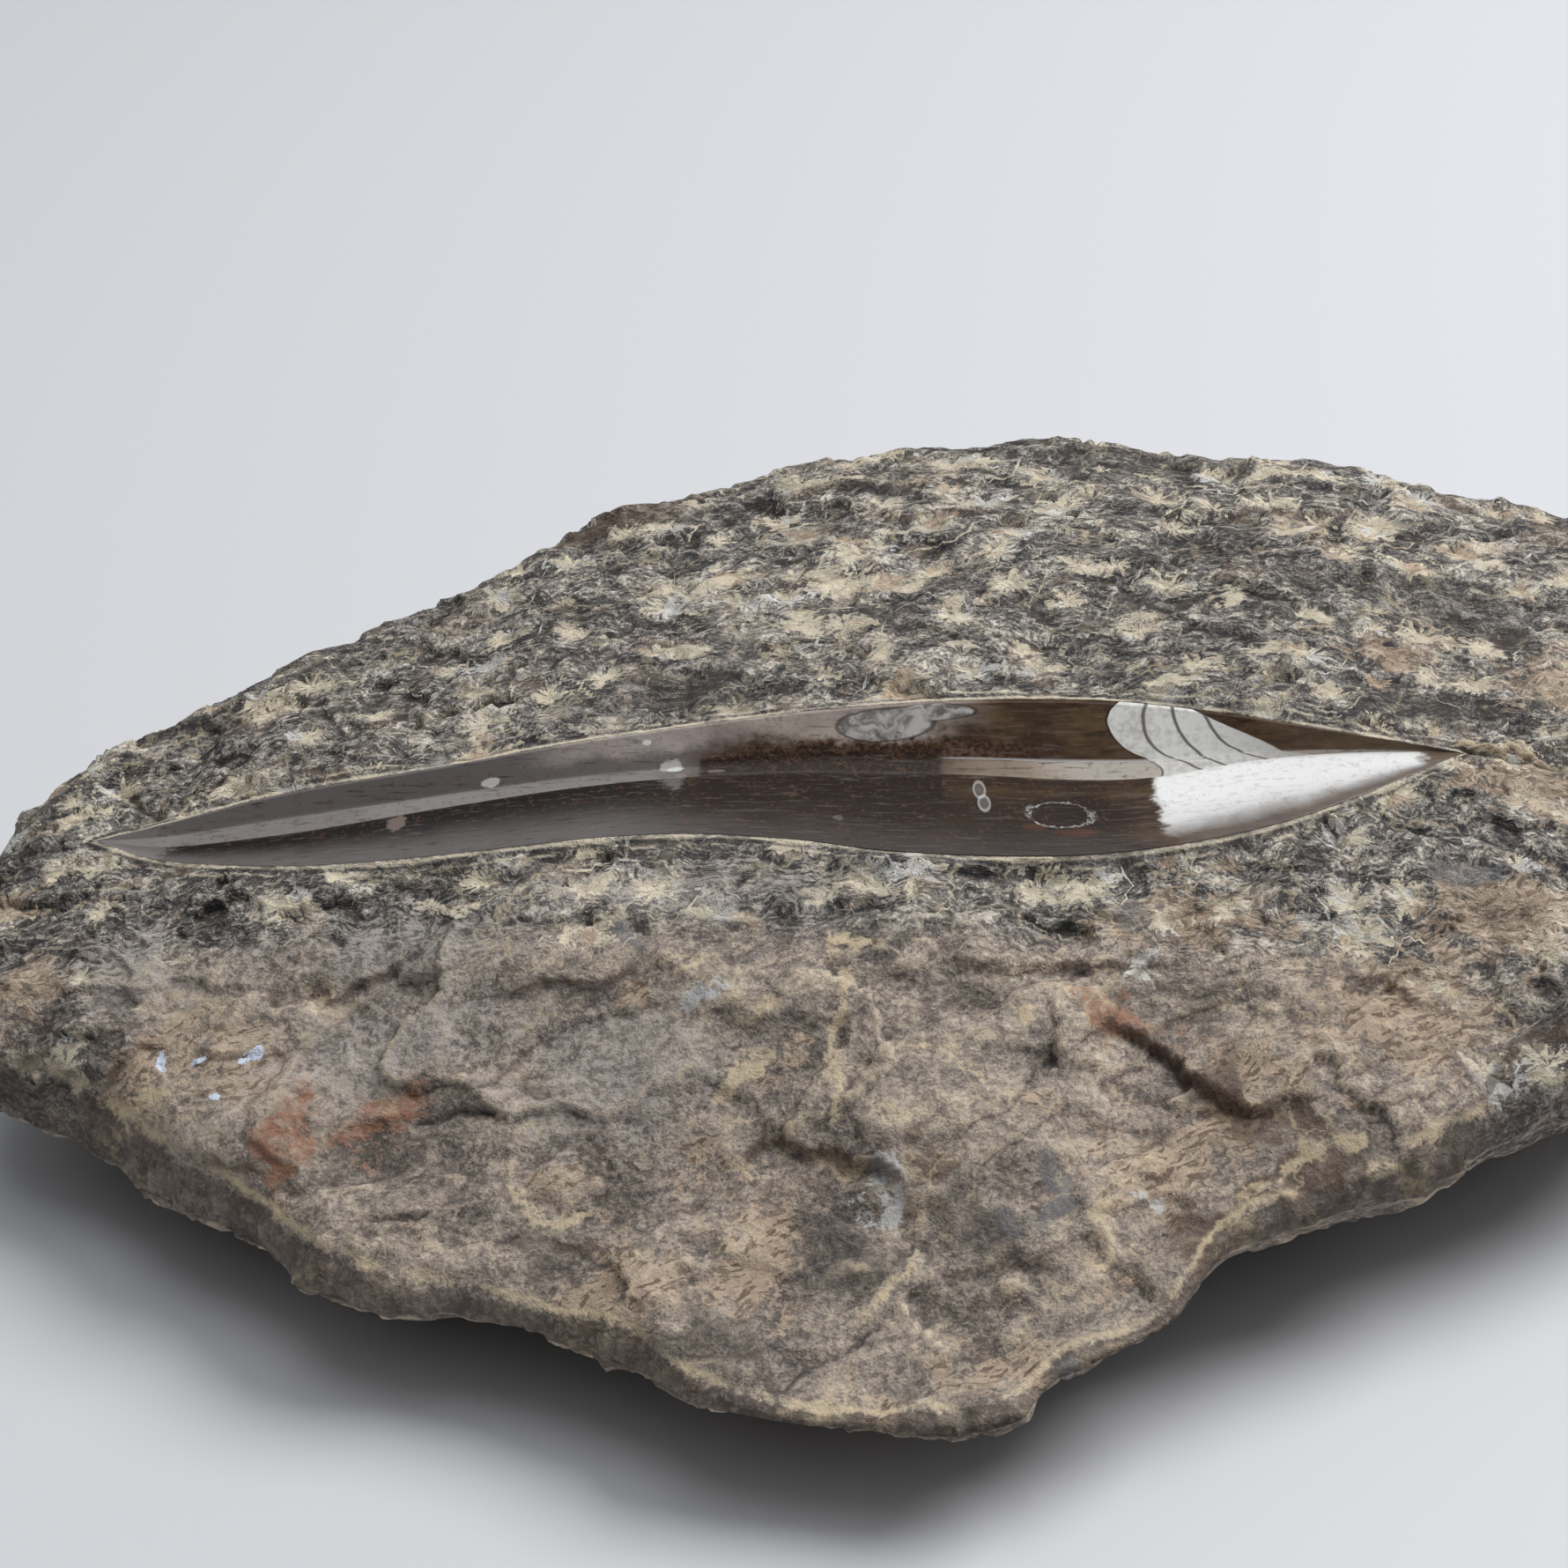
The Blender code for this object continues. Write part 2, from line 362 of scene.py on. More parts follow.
def topSection(rim, seam, share):
    share = np.broadcast_to(share, len(rim))[:, None]
    plan = rim[:, :2] + (seam[:, :2] - rim[:, :2]) * share
    inside = np.linalg.norm(plan - rim[:, :2], axis=1)
    shoulder = 1 - np.maximum(1 - inside / slab["edgeRounding"], 0) ** 2
    crown = crownHeight(plan[:, 0], plan[:, 1])
    z = rim[:, 2] + (crown - rim[:, 2]) * np.sqrt(shoulder)
    return np.column_stack([plan, z])


def loftMesh(name, rings, values):
    # rings: closed sections in mm; values: name -> one number for each point
    count = len(rings[0])
    points = np.vstack(rings)
    first = np.arange(count)
    after = (first + 1) % count
    faces = np.vstack([
        np.stack([first, after, after + count, first + count], axis=1) + row * count
        for row in range(len(rings) - 1)
    ])
    mesh = bpy.data.meshes.new(name)
    mesh.from_pydata(points.tolist(), [], faces.tolist())
    for key, numbers in values.items():
        layer = mesh.attributes.new(key, "FLOAT", "POINT")
        layer.data.foreach_set("value", np.asarray(numbers, np.float32))
    work = bmesh.new()
    work.from_mesh(mesh)
    bmesh.ops.remove_doubles(work, verts=work.verts, dist=slab["weld"])
    bmesh.ops.dissolve_degenerate(work, edges=work.edges, dist=slab["weld"])
    bmesh.ops.recalc_face_normals(work, faces=work.faces)
    work.to_mesh(mesh)
    work.free()
    return mesh


# Places on the stone in mm. Spots: x, y, half length, half width, turn in degrees.
spots = dict(
    ash=[(-62, -32, 20, 8, 15), (-36, -36, 16, 9, 10), (-60, -20, 22, 5, 0), (-88, -20, 10, 6, 0),
         (-30, -16, 24, 4, 0)],
    rust=[(-69.5, -40, 5, 3, 85), (-59.5, -37.2, 6.4, 2.6, 34), (17, -30.5, 6, 2.2, -15)],
    umber=[(-39, 55, 11, 4, 25), (27, -38.5, 8, 2.6, -45), (34, -42, 5, 2.4, -30),
           (36, -47, 5, 3, 30), (24, -54, 5, 2.6, -40), (-4, -47, 3, 3, 0), (49, -46, 5, 3, 30)],
    tan=[(-21, -54, 8, 5, 60), (-33, -57, 7, 4, 0), (21, -46, 10, 5, 30), (46, -30, 15, 8, 20),
         (60, -18, 12, 6, 10), (-72, -33, 13, 6, -15), (66, 0, 12, 5, 0), (51, 20, 7, 4, 0),
         (78, 18, 14, 9, 0), (-41, -46, 4, 2.2, 0), (30, -36, 7, 3, -30), (85, -8, 12, 8, 0),
         (-100, -20, 8, 4, 0), (-86, -30, 9, 3, 40), (4, -66, 8, 3, 0), (26, -20, 14, 3, 0)],
    dark=[(-13, -54, 4.5, 6, 30), (-25, -64, 5, 2.6, 0), (2, -53, 5, 3, -30),
          (-103, 4, 4, 8, 0), (60, 30, 12, 7, 0), (-35, 14, 12, 4, 0), (50, 10, 9, 4, 0),
          (-63, -27, 8, 3, 35), (30, 62, 16, 6, 0), (12, -12, 12, 3, 0), (-80, 22, 12, 6, 20)],
    pale=[(-26, 36, 3.5, 2, 20), (-12.7, 35.4, 2.4, 1.6, 0), (-2.5, 33, 3.2, 2, 30),
          (-16.5, 44.7, 2.6, 1.2, 20), (-4.5, 44.8, 3.5, 0.9, 5), (-10, 60, 3, 1, 0),
          (-43, 27.4, 3.2, 1.6, 60), (-30, 21.6, 2.2, 2, 0), (-15, 25.3, 3, 1.8, -40),
          (-7, 19.7, 2.6, 1.5, 30), (2.5, 21, 2.4, 1.4, 0), (20, 36, 4, 1.8, 0),
          (28, 59, 3, 1.2, 0), (34, 29, 2.6, 1.8, 50), (26, 13, 3.4, 1.6, 0),
          (24, 25.6, 2.4, 1.4, 0), (38, 19, 2.4, 2, 0), (45, 26, 3.6, 1.6, 20),
          (56, 17, 2.4, 2, 0), (68, 41, 3.2, 1.6, 0), (64, 22, 3, 1.6, 0), (-28, 58, 3, 1.2, 0),
          (-36, -20, 2.4, 1, 0), (-54, -15, 4, 1.2, 5), (-10, -17, 6, 1.3, -5)],
    butter=[(-20.2, -30.1, 3, 1.5, 35), (-21.9, -37.3, 3.6, 1.3, 30), (-0.7, -36, 5, 1.2, -22),
            (4.7, -38.4, 3, 1.2, -25), (-28.6, -26.3, 3, 1.1, 45), (-5.8, -42.2, 3, 1.3, -10),
            (7.3, -30.9, 2.4, 1.1, -10), (-12, -46.5, 5, 1, -15), (12, -66, 4, 1.4, 30),
            (-16, -69.5, 7, 1.2, 0), (-30, -25, 2.5, 1, 0), (-10, -24, 3, 1, -30),
            (-38, -60, 5, 1.2, -20), (-29, -66, 4, 1, -50), (27, -53, 3.4, 1, 55),
            (47, -46, 4, 1.6, 25), (-86, -33.5, 5, 0.9, 15), (40, -44, 3, 1, 10)],
    quartz=[(-8.9, -47.6, 1.9, 1.5, 0), (-7.4, -50, 1.4, 1.2, 0), (-26, -29, 3, 1.2, 25),
            (9.6, -66, 1.5, 1, 0), (18, -49, 1.6, 1.2, 0)],
    slate=[(-34, -22, 3.2, 1.3, -12), (8.8, -46.4, 2.2, 1.6, -30), (9.2, -49.6, 1.8, 3, -30),
           (5, -52.5, 2, 0.9, 20), (20, -20, 4, 1.6, -10), (56, -14, 5, 2, 0)],
    fleck=[(-84, -29.6, 0.9, 0.8, 0), (-74.6, -30.8, 0.9, 0.7, 0), (-77.7, -34.4, 0.9, 0.6, 30),
           (-79.5, -31, 0.5, 0.4, 0)],
)
# Strokes: half width, then the points they run through.
strokes = dict(
    crack=[
        (0.9, [(-84, 6.8), (-81.6, 9.7), (-78.9, 11.2)]),
        (1.1, [(-97, 12.7), (-93, 7.7), (-89.7, 4.5)]),
        (0.5, [(-56, -37.8), (-52, -37.6), (-48, -38)]),
        (0.6, [(-67, -55), (-62, -52.6)]),
        (1.0, [(47, -44.5), (50, -46.3)]),
        (0.7, [(-39, -19.6), (-35, -19.8), (-32, -21.2)]),
        (1.2, [(-20.6, 20.9), (-18, 20.3)]),
        (0.5, [(58.4, 3.3), (64, 3.1), (70, 3), (78, 2.2)]),
        (0.6, [(-47, -52), (-44.6, -51.4)]),
        (0.5, [(-18.7, -68.3), (-15.4, -65.9), (-11.1, -63.9), (-8.2, -61.4)]),
        (0.5, [(-60, -50), (-54, -49)]),
    ],
    vein=[
        (0.6, [(-13.3, -22), (-11.5, -27.4), (-12.5, -34.2), (-11.7, -38.8), (-14, -42)]),
        (0.6, [(36.5, -44.4), (30.8, -49), (27, -52.4), (25.5, -54)]),
        (0.4, [(58.4, 4.4), (64, 4.3), (70, 4.1), (78, 3.4)]),
        (0.5, [(-3.9, -51.5), (-5.2, -54.5), (-8.1, -58.7), (-9.8, -61.4)]),
        (0.5, [(-46, -44), (-45.6, -47.5), (-42, -49.8), (-37, -48.6)]),
        (0.4, [(13, -50), (15, -53), (14, -56)]),
    ],
)
# Ledges: drop, how far the low side reaches, then the points; low is on the right going along.
ledges = [
    (1.5, 7.0, [(-26.7, -45), (-22.5, -43.6), (-18.7, -43.5), (-14.2, -44.6), (-10.9, -45.8),
                (-7.5, -47.4), (-4.7, -49.6), (-3.9, -51.5)]),
    (1.9, 7.0, [(12, -29), (18.8, -30.8), (22, -32.9), (26.9, -38.1), (32, -40), (36.5, -43.8)]),
    (1.5, 5.0, [(38, -44.5), (34, -46.2), (30.8, -48.6), (28.8, -50.7), (26.4, -53.7)]),
    (1.6, 6.0, [(66, -28), (63.3, -31.7), (59.5, -33.8), (55.3, -38.3), (53, -42)]),
    (0.9, 6.0, [(36, -25.5), (45.2, -25.2), (49.2, -27.2), (55, -26.5)]),
    (1.1, 5.0, [(-96, -33), (-90.3, -31), (-87.1, -28.4), (-83, -27.6)]),
    (1.2, 5.0, [(-83.5, -37.6), (-79.4, -39.8), (-75, -41.8), (-70, -43)]),
    (1.0, 5.0, [(-71, -22.5), (-66.3, -23.4), (-60.5, -20.4), (-56, -18.4)]),
    (1.0, 6.0, [(-4, -24), (4, -25.4), (12, -23.8), (20, -24.4), (27, -22.6)]),
    (0.9, 5.0, [(-52, -27.4), (-44, -25), (-37, -26), (-30, -23.4)]),
    (0.9, 4.0, [(-6, -57), (0, -56), (6, -55.4), (12, -54)]),
    (0.8, 4.0, [(-50, -52), (-42, -51), (-34, -53)]),
    (1.0, 5.0, [(-30, 60), (-20, 57.5), (-8, 58.5), (4, 56)]),
    (0.9, 5.0, [(-12, 50), (-2, 48.6), (8, 49.6), (20, 47)]),
    (0.9, 5.0, [(26, 52), (36, 50), (48, 51), (58, 48)]),
]
# Dents: x, y, half length, half width, turn, depth; a negative depth is a hump.
dents = [
    (-15, -54, 11, 8, -20, 1.3), (22, -41.5, 9, 5, -30, 1.1), (48, -35, 12, 6, 20, 0.9),
    (-60, -43, 12, 5, 8, 0.8), (-89, -25, 8, 5, 0, 0.7), (9.4, -48.6, 4, 4.4, 0, 0.8),
    (-1.4, -58.9, 3.2, 2.6, 0, -0.9), (4.7, -57.7, 2.6, 2.2, 0, -0.9),
    (-2.4, -62.2, 3, 2, 0, -0.8), (4.5, -63, 4, 2.3, 20, -0.9), (12.6, -57.5, 3, 2.4, 0, -0.8),
    (-41, -45.6, 5.4, 4, 0, -0.7), (-8.2, -48.8, 2.6, 2.8, 0, -0.7), (-40, -30, 9, 4, 20, 0.7),
    (2, -30, 8, 4, -10, 0.8), (-30, -36, 8, 5, 30, -0.7), (14, -40, 4, 3, 0, -0.8),
    (-70, -28, 8, 4, 30, -0.7), (70, -12, 9, 5, 0, 0.7), (-62, 30, 12, 6, 25, 0.8),
    (15, 25, 8, 4, 0, 0.7), (50, 36, 10, 5, 0, -0.8), (-10, 40, 10, 4, 0, -0.7),
]
frayed = dict(bendSize=5.0, bend=2.2, fraySize=1.5, fray=1.1, seed=12)
# How each ledge and the painted shadow line at its foot are shaped, in mm; the taper is a share of
# its length.
ledgeShape = dict(taper=0.3, face=1.3, footAway=0.5, footWidth=0.8)
# Where the weathered front starts, and where marks fade out.
zones = dict(
    front=(17, 29),               # mm in front of the middle where the crust sets in
    frontLean=0.05,
    right=(44, 60, 0.65),         # mm where the crust thins out, and how much of it goes
    left=(80, 96, 0.55),
    bellyReach=9,                 # mm from the rim to the full look of the underside
    bellyCrust=0.35,
    rimReach=4,                   # mm from the rim where marks begin
)


def matrixRings():
    count = slab["around"]
    rim = rimSection(count)
    seam = troughSection(count, 0)
    reachIn = np.linalg.norm(seam[:, :2] - rim[:, :2], axis=1)
    rings = []
    values = dict(relief=[], seamAway=[], rimAway=[], under=[])

    def keep(ring, relief, seamAway, rimAway, under):
        rings.append(ring)
        given = dict(relief=relief, seamAway=seamAway, rimAway=rimAway, under=under)
        for name, value in given.items():
            values[name].append(np.broadcast_to(value, count))

    for step in range(slab["baseRings"] + 1):
        keep(baseSection(rim, step / slab["baseRings"]), 0, 50, 50, 1)
    for step in range(slab["bellyRings"] - 1, 0, -1):
        turn = step / slab["bellyRings"]
        keep(bellySection(rim, turn), min((1 - turn) / 0.12, 1), 50, 20 * turn, 1)
    keep(rim, 1, reachIn, 0, 0)
    outer = 1 - slab["seamSteps"][0] / reachIn
    for step in range(1, slab["topRings"] + 1):
        share = outer * step / slab["topRings"]
        keep(topSection(rim, seam, share), 1, reachIn * (1 - share), reachIn * share, 0)
    for away in slab["seamSteps"][1:]:
        ring = seam if away == 0 else topSection(rim, seam, 1 - away / reachIn)
        keep(ring, min(away / slab["seamFade"], 1), away, reachIn - away, 0)
    for reach in (0, 0.35, 0.7, 1):
        keep(troughSection(count, reach, cut["bedding"]), 0, 0, 50, 0)
    return rings, {name: np.concatenate(rows) for name, rows in values.items()}


def spotStrength(points, places):
    total = np.full(len(points), -1.0)
    for x, y, length, width, turn in places:
        dx, dy = points[:, 0] - x, points[:, 1] - y
        cosine, sine = math.cos(math.radians(turn)), math.sin(math.radians(turn))
        alongSpot = (dx * cosine + dy * sine) / length
        acrossSpot = (dy * cosine - dx * sine) / width
        total = np.maximum(total, 1 - np.hypot(alongSpot, acrossSpot))
    return total


def toLine(points, start, run):    # how far each point is from a straight run, and where on it
    offset = points[:, :2] - start
    share = np.clip(offset @ run / (run @ run), 0, 1)
    return np.linalg.norm(offset - share[:, None] * run, axis=1), share


def strokeStrength(points, lines):
    total = np.zeros(len(points))
    for halfWidth, corners in lines:
        for start, end in zip(corners, corners[1:]):
            away = toLine(points, np.array(start), np.subtract(end, start))[0]
            total = np.maximum(total, 1 - away / (halfWidth + 1))
    return total


def ledgeMarks(points):
    down, hollow = np.zeros(len(points)), np.zeros(len(points))
    for drop, reach, corners in ledges:
        corners = np.array(corners, float)
        runs = np.diff(corners, axis=0)
        lengths = np.linalg.norm(runs, axis=1)
        starts = np.concatenate([[0], np.cumsum(lengths)])
        nearest, side, travelled = (np.full(len(points), v) for v in (np.inf, 0.0, 0.0))
        for start, run, length, before in zip(corners, runs, lengths, starts):
            away, share = toLine(points, start, run)
            closer = away < nearest
            right = run[1] * (points[:, 0] - start[0]) - run[0] * (points[:, 1] - start[1]) > 0
            nearest = np.where(closer, away, nearest)
            side = np.where(closer, right, side)
            travelled = np.where(closer, before + share * length, travelled)
        total = starts[-1]
        taper = ledgeShape["taper"] * total
        low = side * softStep(np.minimum(travelled, total - travelled), 0, taper)
        face = softStep(nearest, 0, ledgeShape["face"])
        down = np.maximum(down, drop * np.exp(-nearest / reach) * low * face)
        # painted shadow along the foot of each ledge, on its low side
        footLine = (nearest - ledgeShape["footAway"]) / ledgeShape["footWidth"]
        hollow = np.maximum(hollow, drop * np.exp(-footLine ** 2) * low)
    return down, hollow


def dentDepth(points):
    total = np.zeros(len(points))
    for *place, depth in dents:
        total += softStep(spotStrength(points, [place]), 0, 1) * depth
    return total


def frayedPlaces(points):          # where each mark is read, so that outlines come out ragged
    noise.seed_set(frayed["seed"])
    shift = Vector((5, 60, 20))
    return np.array([
        Vector(p)
        + noise.noise_vector(Vector(p) / frayed["bendSize"]) * frayed["bend"]
        + noise.noise_vector(Vector(p) / frayed["fraySize"] + shift) * frayed["fray"]
        for p in points
    ])


def softStep(value, low, high):
    share = np.clip((value - low) / (high - low), 0, 1)
    return share * share * (3 - 2 * share)


def matrixBlock():
    print("matrix: sections")
    rings, values = matrixRings()
    points = np.vstack(rings)
    upward = values["under"] < 0.5
    front = softStep(-points[:, 1] - zones["frontLean"] * points[:, 0], *zones["front"])
    for outward, side in ((1, "right"), (-1, "left")):
        start, end, share = zones[side]
        front *= 1 - share * softStep(outward * points[:, 0], start, end)
    belly = np.where(upward, 0, softStep(values["rimAway"], 0, zones["bellyReach"]))
    inside = np.where(upward, softStep(values["rimAway"], 0, zones["rimReach"]), 0)
    values["belly"] = belly
    values["crust"] = front + (zones["bellyCrust"] - front) * belly
    ragged = frayedPlaces(points)
    for name, places in spots.items():
        values[name] = spotStrength(ragged, places) - 2 * belly
    values["crack"] = strokeStrength((points * 2 + ragged) / 3, strokes["crack"]) * inside
    values["vein"] = strokeStrength(ragged, strokes["vein"]) * inside
    down, hollow = ledgeMarks((points + ragged * 2) / 3)
    values["sunk"] = (down + dentDepth(points)) * inside
    values["hollow"] = hollow * inside
    return addObject("matrix", loftMesh("matrix", rings, values))


def readAll(items, name, width=1, kind=float):
    numbers = np.empty(len(items) * width, kind)
    items.foreach_get(name, numbers)
    return numbers.reshape(-1, width) if width > 1 else numbers


def vertexPlaces(mesh):
    return readAll(mesh.vertices, "co", 3)


def lumps(mesh):                   # the broad relief of the solid
    places = vertexPlaces(mesh)
    normals = readAll(mesh.vertex_normals, "vector", 3)
    strength = readAll(mesh.attributes["relief"].data, "value")
    shift = Vector((31, 7, 12))
    moved = np.array([
        noise.noise(Vector(p) / slab["lumpSize"]) * slab["lumpHeight"]
        + noise.noise(Vector(p) / slab["chipSize"] + shift) * slab["chipHeight"]
        for p in places
    ])
    places += normals * (moved * strength)[:, None]
    mesh.vertices.foreach_set("co", places.ravel())
    mesh.update()


relief = dict(
    facetSize=7.0,
    facetTilt=0.13,
    flakeSize=2.6,
    flakeTilt=0.16,
    scoopSize=16.0,
    scoopDepth=1.7,
    scoopStep=1.2,
    strikeSpacing=6.8,
    strikeDepth=0.5,
    ledgeSize=20.0,
    ledgeHeight=0.85,
    grainSize=1.6,
    grainHeight=0.2,
    toothSize=3.0,
    toothHeight=3.2,
    crackDepth=0.55,
    veinHeight=0.35,
    lipSlope=0.12,                # the two faces of the thin lip never cross
    lipSlack=0.1,
    ridgeReach=8,
)


def reliefTree():                  # chips, scoops, ledges and chisel strikes along the normal
    tree = bpy.data.node_groups.new("stone relief", "GeometryNodeTree")
    face = tree.interface
    face.new_socket("Geometry", in_out="INPUT", socket_type="NodeSocketGeometry")
    for name, value in relief.items():
        kind = "NodeSocketInt" if isinstance(value, int) else "NodeSocketFloat"
        face.new_socket(name, in_out="INPUT", socket_type=kind)
    face.new_socket("Material", in_out="INPUT", socket_type="NodeSocketMaterial")
    face.new_socket("Geometry", in_out="OUTPUT", socket_type="NodeSocketGeometry")
    bench = Bench(tree)
    given = tree.nodes.new("NodeGroupInput")
    ends = tree.nodes.new("NodeGroupOutput")
    size = {name: Wire(bench, given.outputs[name]) for name in relief}
    cells, cloud, fade = bench.cells, bench.cloud, bench.fade

    def named(name):
        return bench.node(
            "GeometryNodeInputNamedAttribute", dict(data_type="FLOAT"), {"Name": name})

    def facets(at, width, tilt, seed):    # each cell of stone leans its own way
        moved = at + (seed * 11.0, seed * 4.0, seed * 7.0)
        lean = (cells(moved, width, "Color") - (0.5, 0.5, 0.5)) * 2
        return bench.measure("DOT_PRODUCT", moved - cells(moved, width, "Position"), lean) * tilt

    place = bench.node("GeometryNodeInputPosition")
    normal = bench.node("GeometryNodeInputNormal")
    crust = named("crust")
    chiselled = 1 - crust
    wobble = bench.bend(place, 5.0, 1, 0.55)
    chips = (place + wobble * 2.5) * (0.55, 1, 1)
    big = facets((place + wobble * 4) * (0.7, 1, 1), size["facetSize"], size["facetTilt"], 1)
    small = facets(chips, size["flakeSize"], size["flakeTilt"], 2)
    planeTone = bench.axis(cells(chips + (22, 8, 14), size["flakeSize"], "Color"), "Y")
    # scoops: shallow bowls that meet in ridges, each at its own level
    bent = place * (1, 1.25, 0.4) + bench.bend(place, 15.0, 3) * 16 + wobble * 2.5
    bowl = cells(bent, size["scoopSize"], "Distance")
    level = bench.axis(cells(bent, size["scoopSize"], "Color"), "X")
    scoop = bowl * bowl * size["scoopDepth"] + (level - 0.5) * size["scoopStep"]
    # ledges: a slow field cut into steps, as where layers of stone broke away
    leaning = bench.turned(place + wobble * 3, -0.4) * (0.4, 1.15, 1) + (40, 3, 9)
    field = cloud(leaning, size["ledgeSize"], 2.0) * 7
    step = bench.maths("FLOOR", field)
    ledge = (step + fade(field - step, 0.0, 0.12) - 4.5) * size["ledgeHeight"]
    # chisel strikes: a small pit in some cells of a loose pattern seen from above
    plan = place * (1, 1, 0) + wobble * (3, 3, 0)
    strikeColour = cells(plan, size["strikeSpacing"], "Color", "2D")
    strikeMiddle = cells(plan, size["strikeSpacing"], "Position", "2D") * (1, 1, 0)
    share = 1 / (bench.axis(strikeColour, "Y") + 0.55)
    strikeOffset = (plan - strikeMiddle) * bench.flatVector(share, share)
    struck = fade(bench.axis(strikeColour, "X") + crust * 0.7 + named("belly"), 0.68, 0.56)
    struck = struck * fade(bench.axis(normal, "Z"), 0.3, 0.6)
    pit = fade(bench.measure("LENGTH", strikeOffset), 2.2, 0.2) * struck
    grain = cloud(place + wobble, size["grainSize"], 4.0, 0.6) - 0.5
    # the rim is broken into small teeth
    teeth = cloud(place, size["toothSize"], 4.0, 0.65) - 0.5
    jagged = bench.maths("MAXIMUM", teeth, -0.02) * size["toothHeight"]
    jagged = jagged * fade(named("rimAway"), 4.0, 0.0)
    groove = fade(named("crack"), 0.45, 0.95) * size["crackDepth"]
    swell = fade(named("vein"), 0.3, 0.9) * size["veinHeight"]
    height = (
        big * (0.4 + 0.6 * chiselled)
        + small * (0.2 + 0.8 * chiselled)
        + scoop * (0.2 + 0.8 * crust)
        + ledge * (0.35 + 0.3 * crust)
        + grain * size["grainHeight"] * (0.5 + 0.5 * chiselled)
        + jagged
        - pit * size["strikeDepth"]
        - named("sunk")
    ) * named("relief") - groove + swell
    deepest = -1 * (named("rimAway") * size["lipSlope"] + size["lipSlack"])
    height = bench.maths("MAXIMUM", height, deepest)

    def kept(shape, name, value):
        kind = "FLOAT_VECTOR" if value.socket.type == "VECTOR" else "FLOAT"
        return bench.node(
            "GeometryNodeStoreNamedAttribute", dict(data_type=kind, domain="POINT"),
            {"Geometry": shape, "Name": name, "Value": value})

    shape = Wire(bench, given.outputs["Geometry"])
    fields = dict(
        height=height, strikeOffset=strikeOffset, struck=struck, plane=planeTone - 0.5,
        layer=field)
    for name, value in fields.items():
        shape = kept(shape, name, value)
    smooth = bench.node(
        "GeometryNodeBlurAttribute", dict(data_type="FLOAT"),
        {"Value": named("height"), "Iterations": size["ridgeReach"]})
    shape = kept(shape, "ridge", named("height") - smooth)
    moved = bench.node(
        "GeometryNodeSetPosition", None,
        {"Geometry": shape, "Offset": normal * named("height")})
    solid = bench.node("GeometryNodeRealizeInstances", None, {"Geometry": moved})
    dressed = bench.node(
        "GeometryNodeSetMaterial", None,
        {"Geometry": solid, "Material": Wire(bench, given.outputs["Material"])})
    bench.tree.links.new(dressed.socket, ends.inputs["Geometry"])
    return tree


def applyTree(thing, tree, values):
    modifier = thing.modifiers.new("relief", "NODES")
    modifier.node_group = tree
    for item in tree.interface.items_tree:
        if item.in_out == "INPUT" and item.name in values:
            modifier[item.identifier] = values[item.name]
    bpy.context.view_layer.update()
    seen = thing.evaluated_get(bpy.context.evaluated_depsgraph_get())
    mesh = bpy.data.meshes.new_from_object(seen)
    old = thing.data
    thing.modifiers.remove(modifier)
    thing.data = mesh
    bpy.data.meshes.remove(old)


def freshMaterial(name, look=None):
    material = bpy.data.materials.new(name)
    material.use_nodes = True
    tree = material.node_tree
    return material, Bench(tree, look), tree.nodes["Principled BSDF"].inputs


def finishMaterial(bench, inputs, roughness, strength, height):
    bump = bench.node(
        "ShaderNodeBump", None,
        {"Strength": strength, "Distance": mm, "Height": height}, out="Normal")
    bench.feed(inputs["Base Color"], bench.colour)
    bench.feed(inputs["Roughness"], roughness)
    bench.feed(inputs["Specular IOR Level"], bench.look["shine"])
    bench.feed(inputs["Normal"], bump)


stoneLook = dict(
    backRamp=[
        (0.0, (0.026, 0.024, 0.024)), (0.3, (0.09, 0.084, 0.08)),
        (0.5, (0.195, 0.18, 0.166)), (0.68, (0.36, 0.33, 0.292)),
        (0.85, (0.57, 0.52, 0.445)), (1.0, (0.8, 0.75, 0.67)),
    ],
    frontRamp=[
        (0.0, (0.07, 0.058, 0.05)), (0.3, (0.19, 0.16, 0.138)),
        (0.5, (0.32, 0.27, 0.23)), (0.68, (0.46, 0.385, 0.315)),
        (0.85, (0.6, 0.5, 0.4)), (1.0, (0.74, 0.63, 0.5)),
    ],
    # patches: how ragged, how soft and how strong
    darkPatches=[("umber", 2.4, 0.5, 0.68), ("slate", 0.7, 0.25, 0.6)],
    palePatches=[("pale", 2.0, 0.5, 0.7), ("butter", 2.6, 0.7, 0.7), ("quartz", 1.6, 0.4, 0.75)],
    cream=(0.78, 0.69, 0.53),
    pale=(0.78, 0.69, 0.53),
    chalk=(0.74, 0.73, 0.7),
    butter=(0.68, 0.555, 0.37),
    tan=(0.56, 0.42, 0.3),
    rust=(0.34, 0.16, 0.095),
    umber=(0.085, 0.05, 0.034),
    soot=(0.045, 0.042, 0.04),
    shade=(0.095, 0.076, 0.062),
    slate=(0.15, 0.155, 0.17),
    quartz=(0.6, 0.61, 0.62),
    ash=(0.46, 0.415, 0.38),
    fleck=(0.7, 0.77, 0.92),
    crackInside=(0.02, 0.016, 0.013),
    tone=0.395,                   # place in the ramps that the stone varies around
    crustTone=0.125,
    roughness=0.8,
    shine=0.35,
)


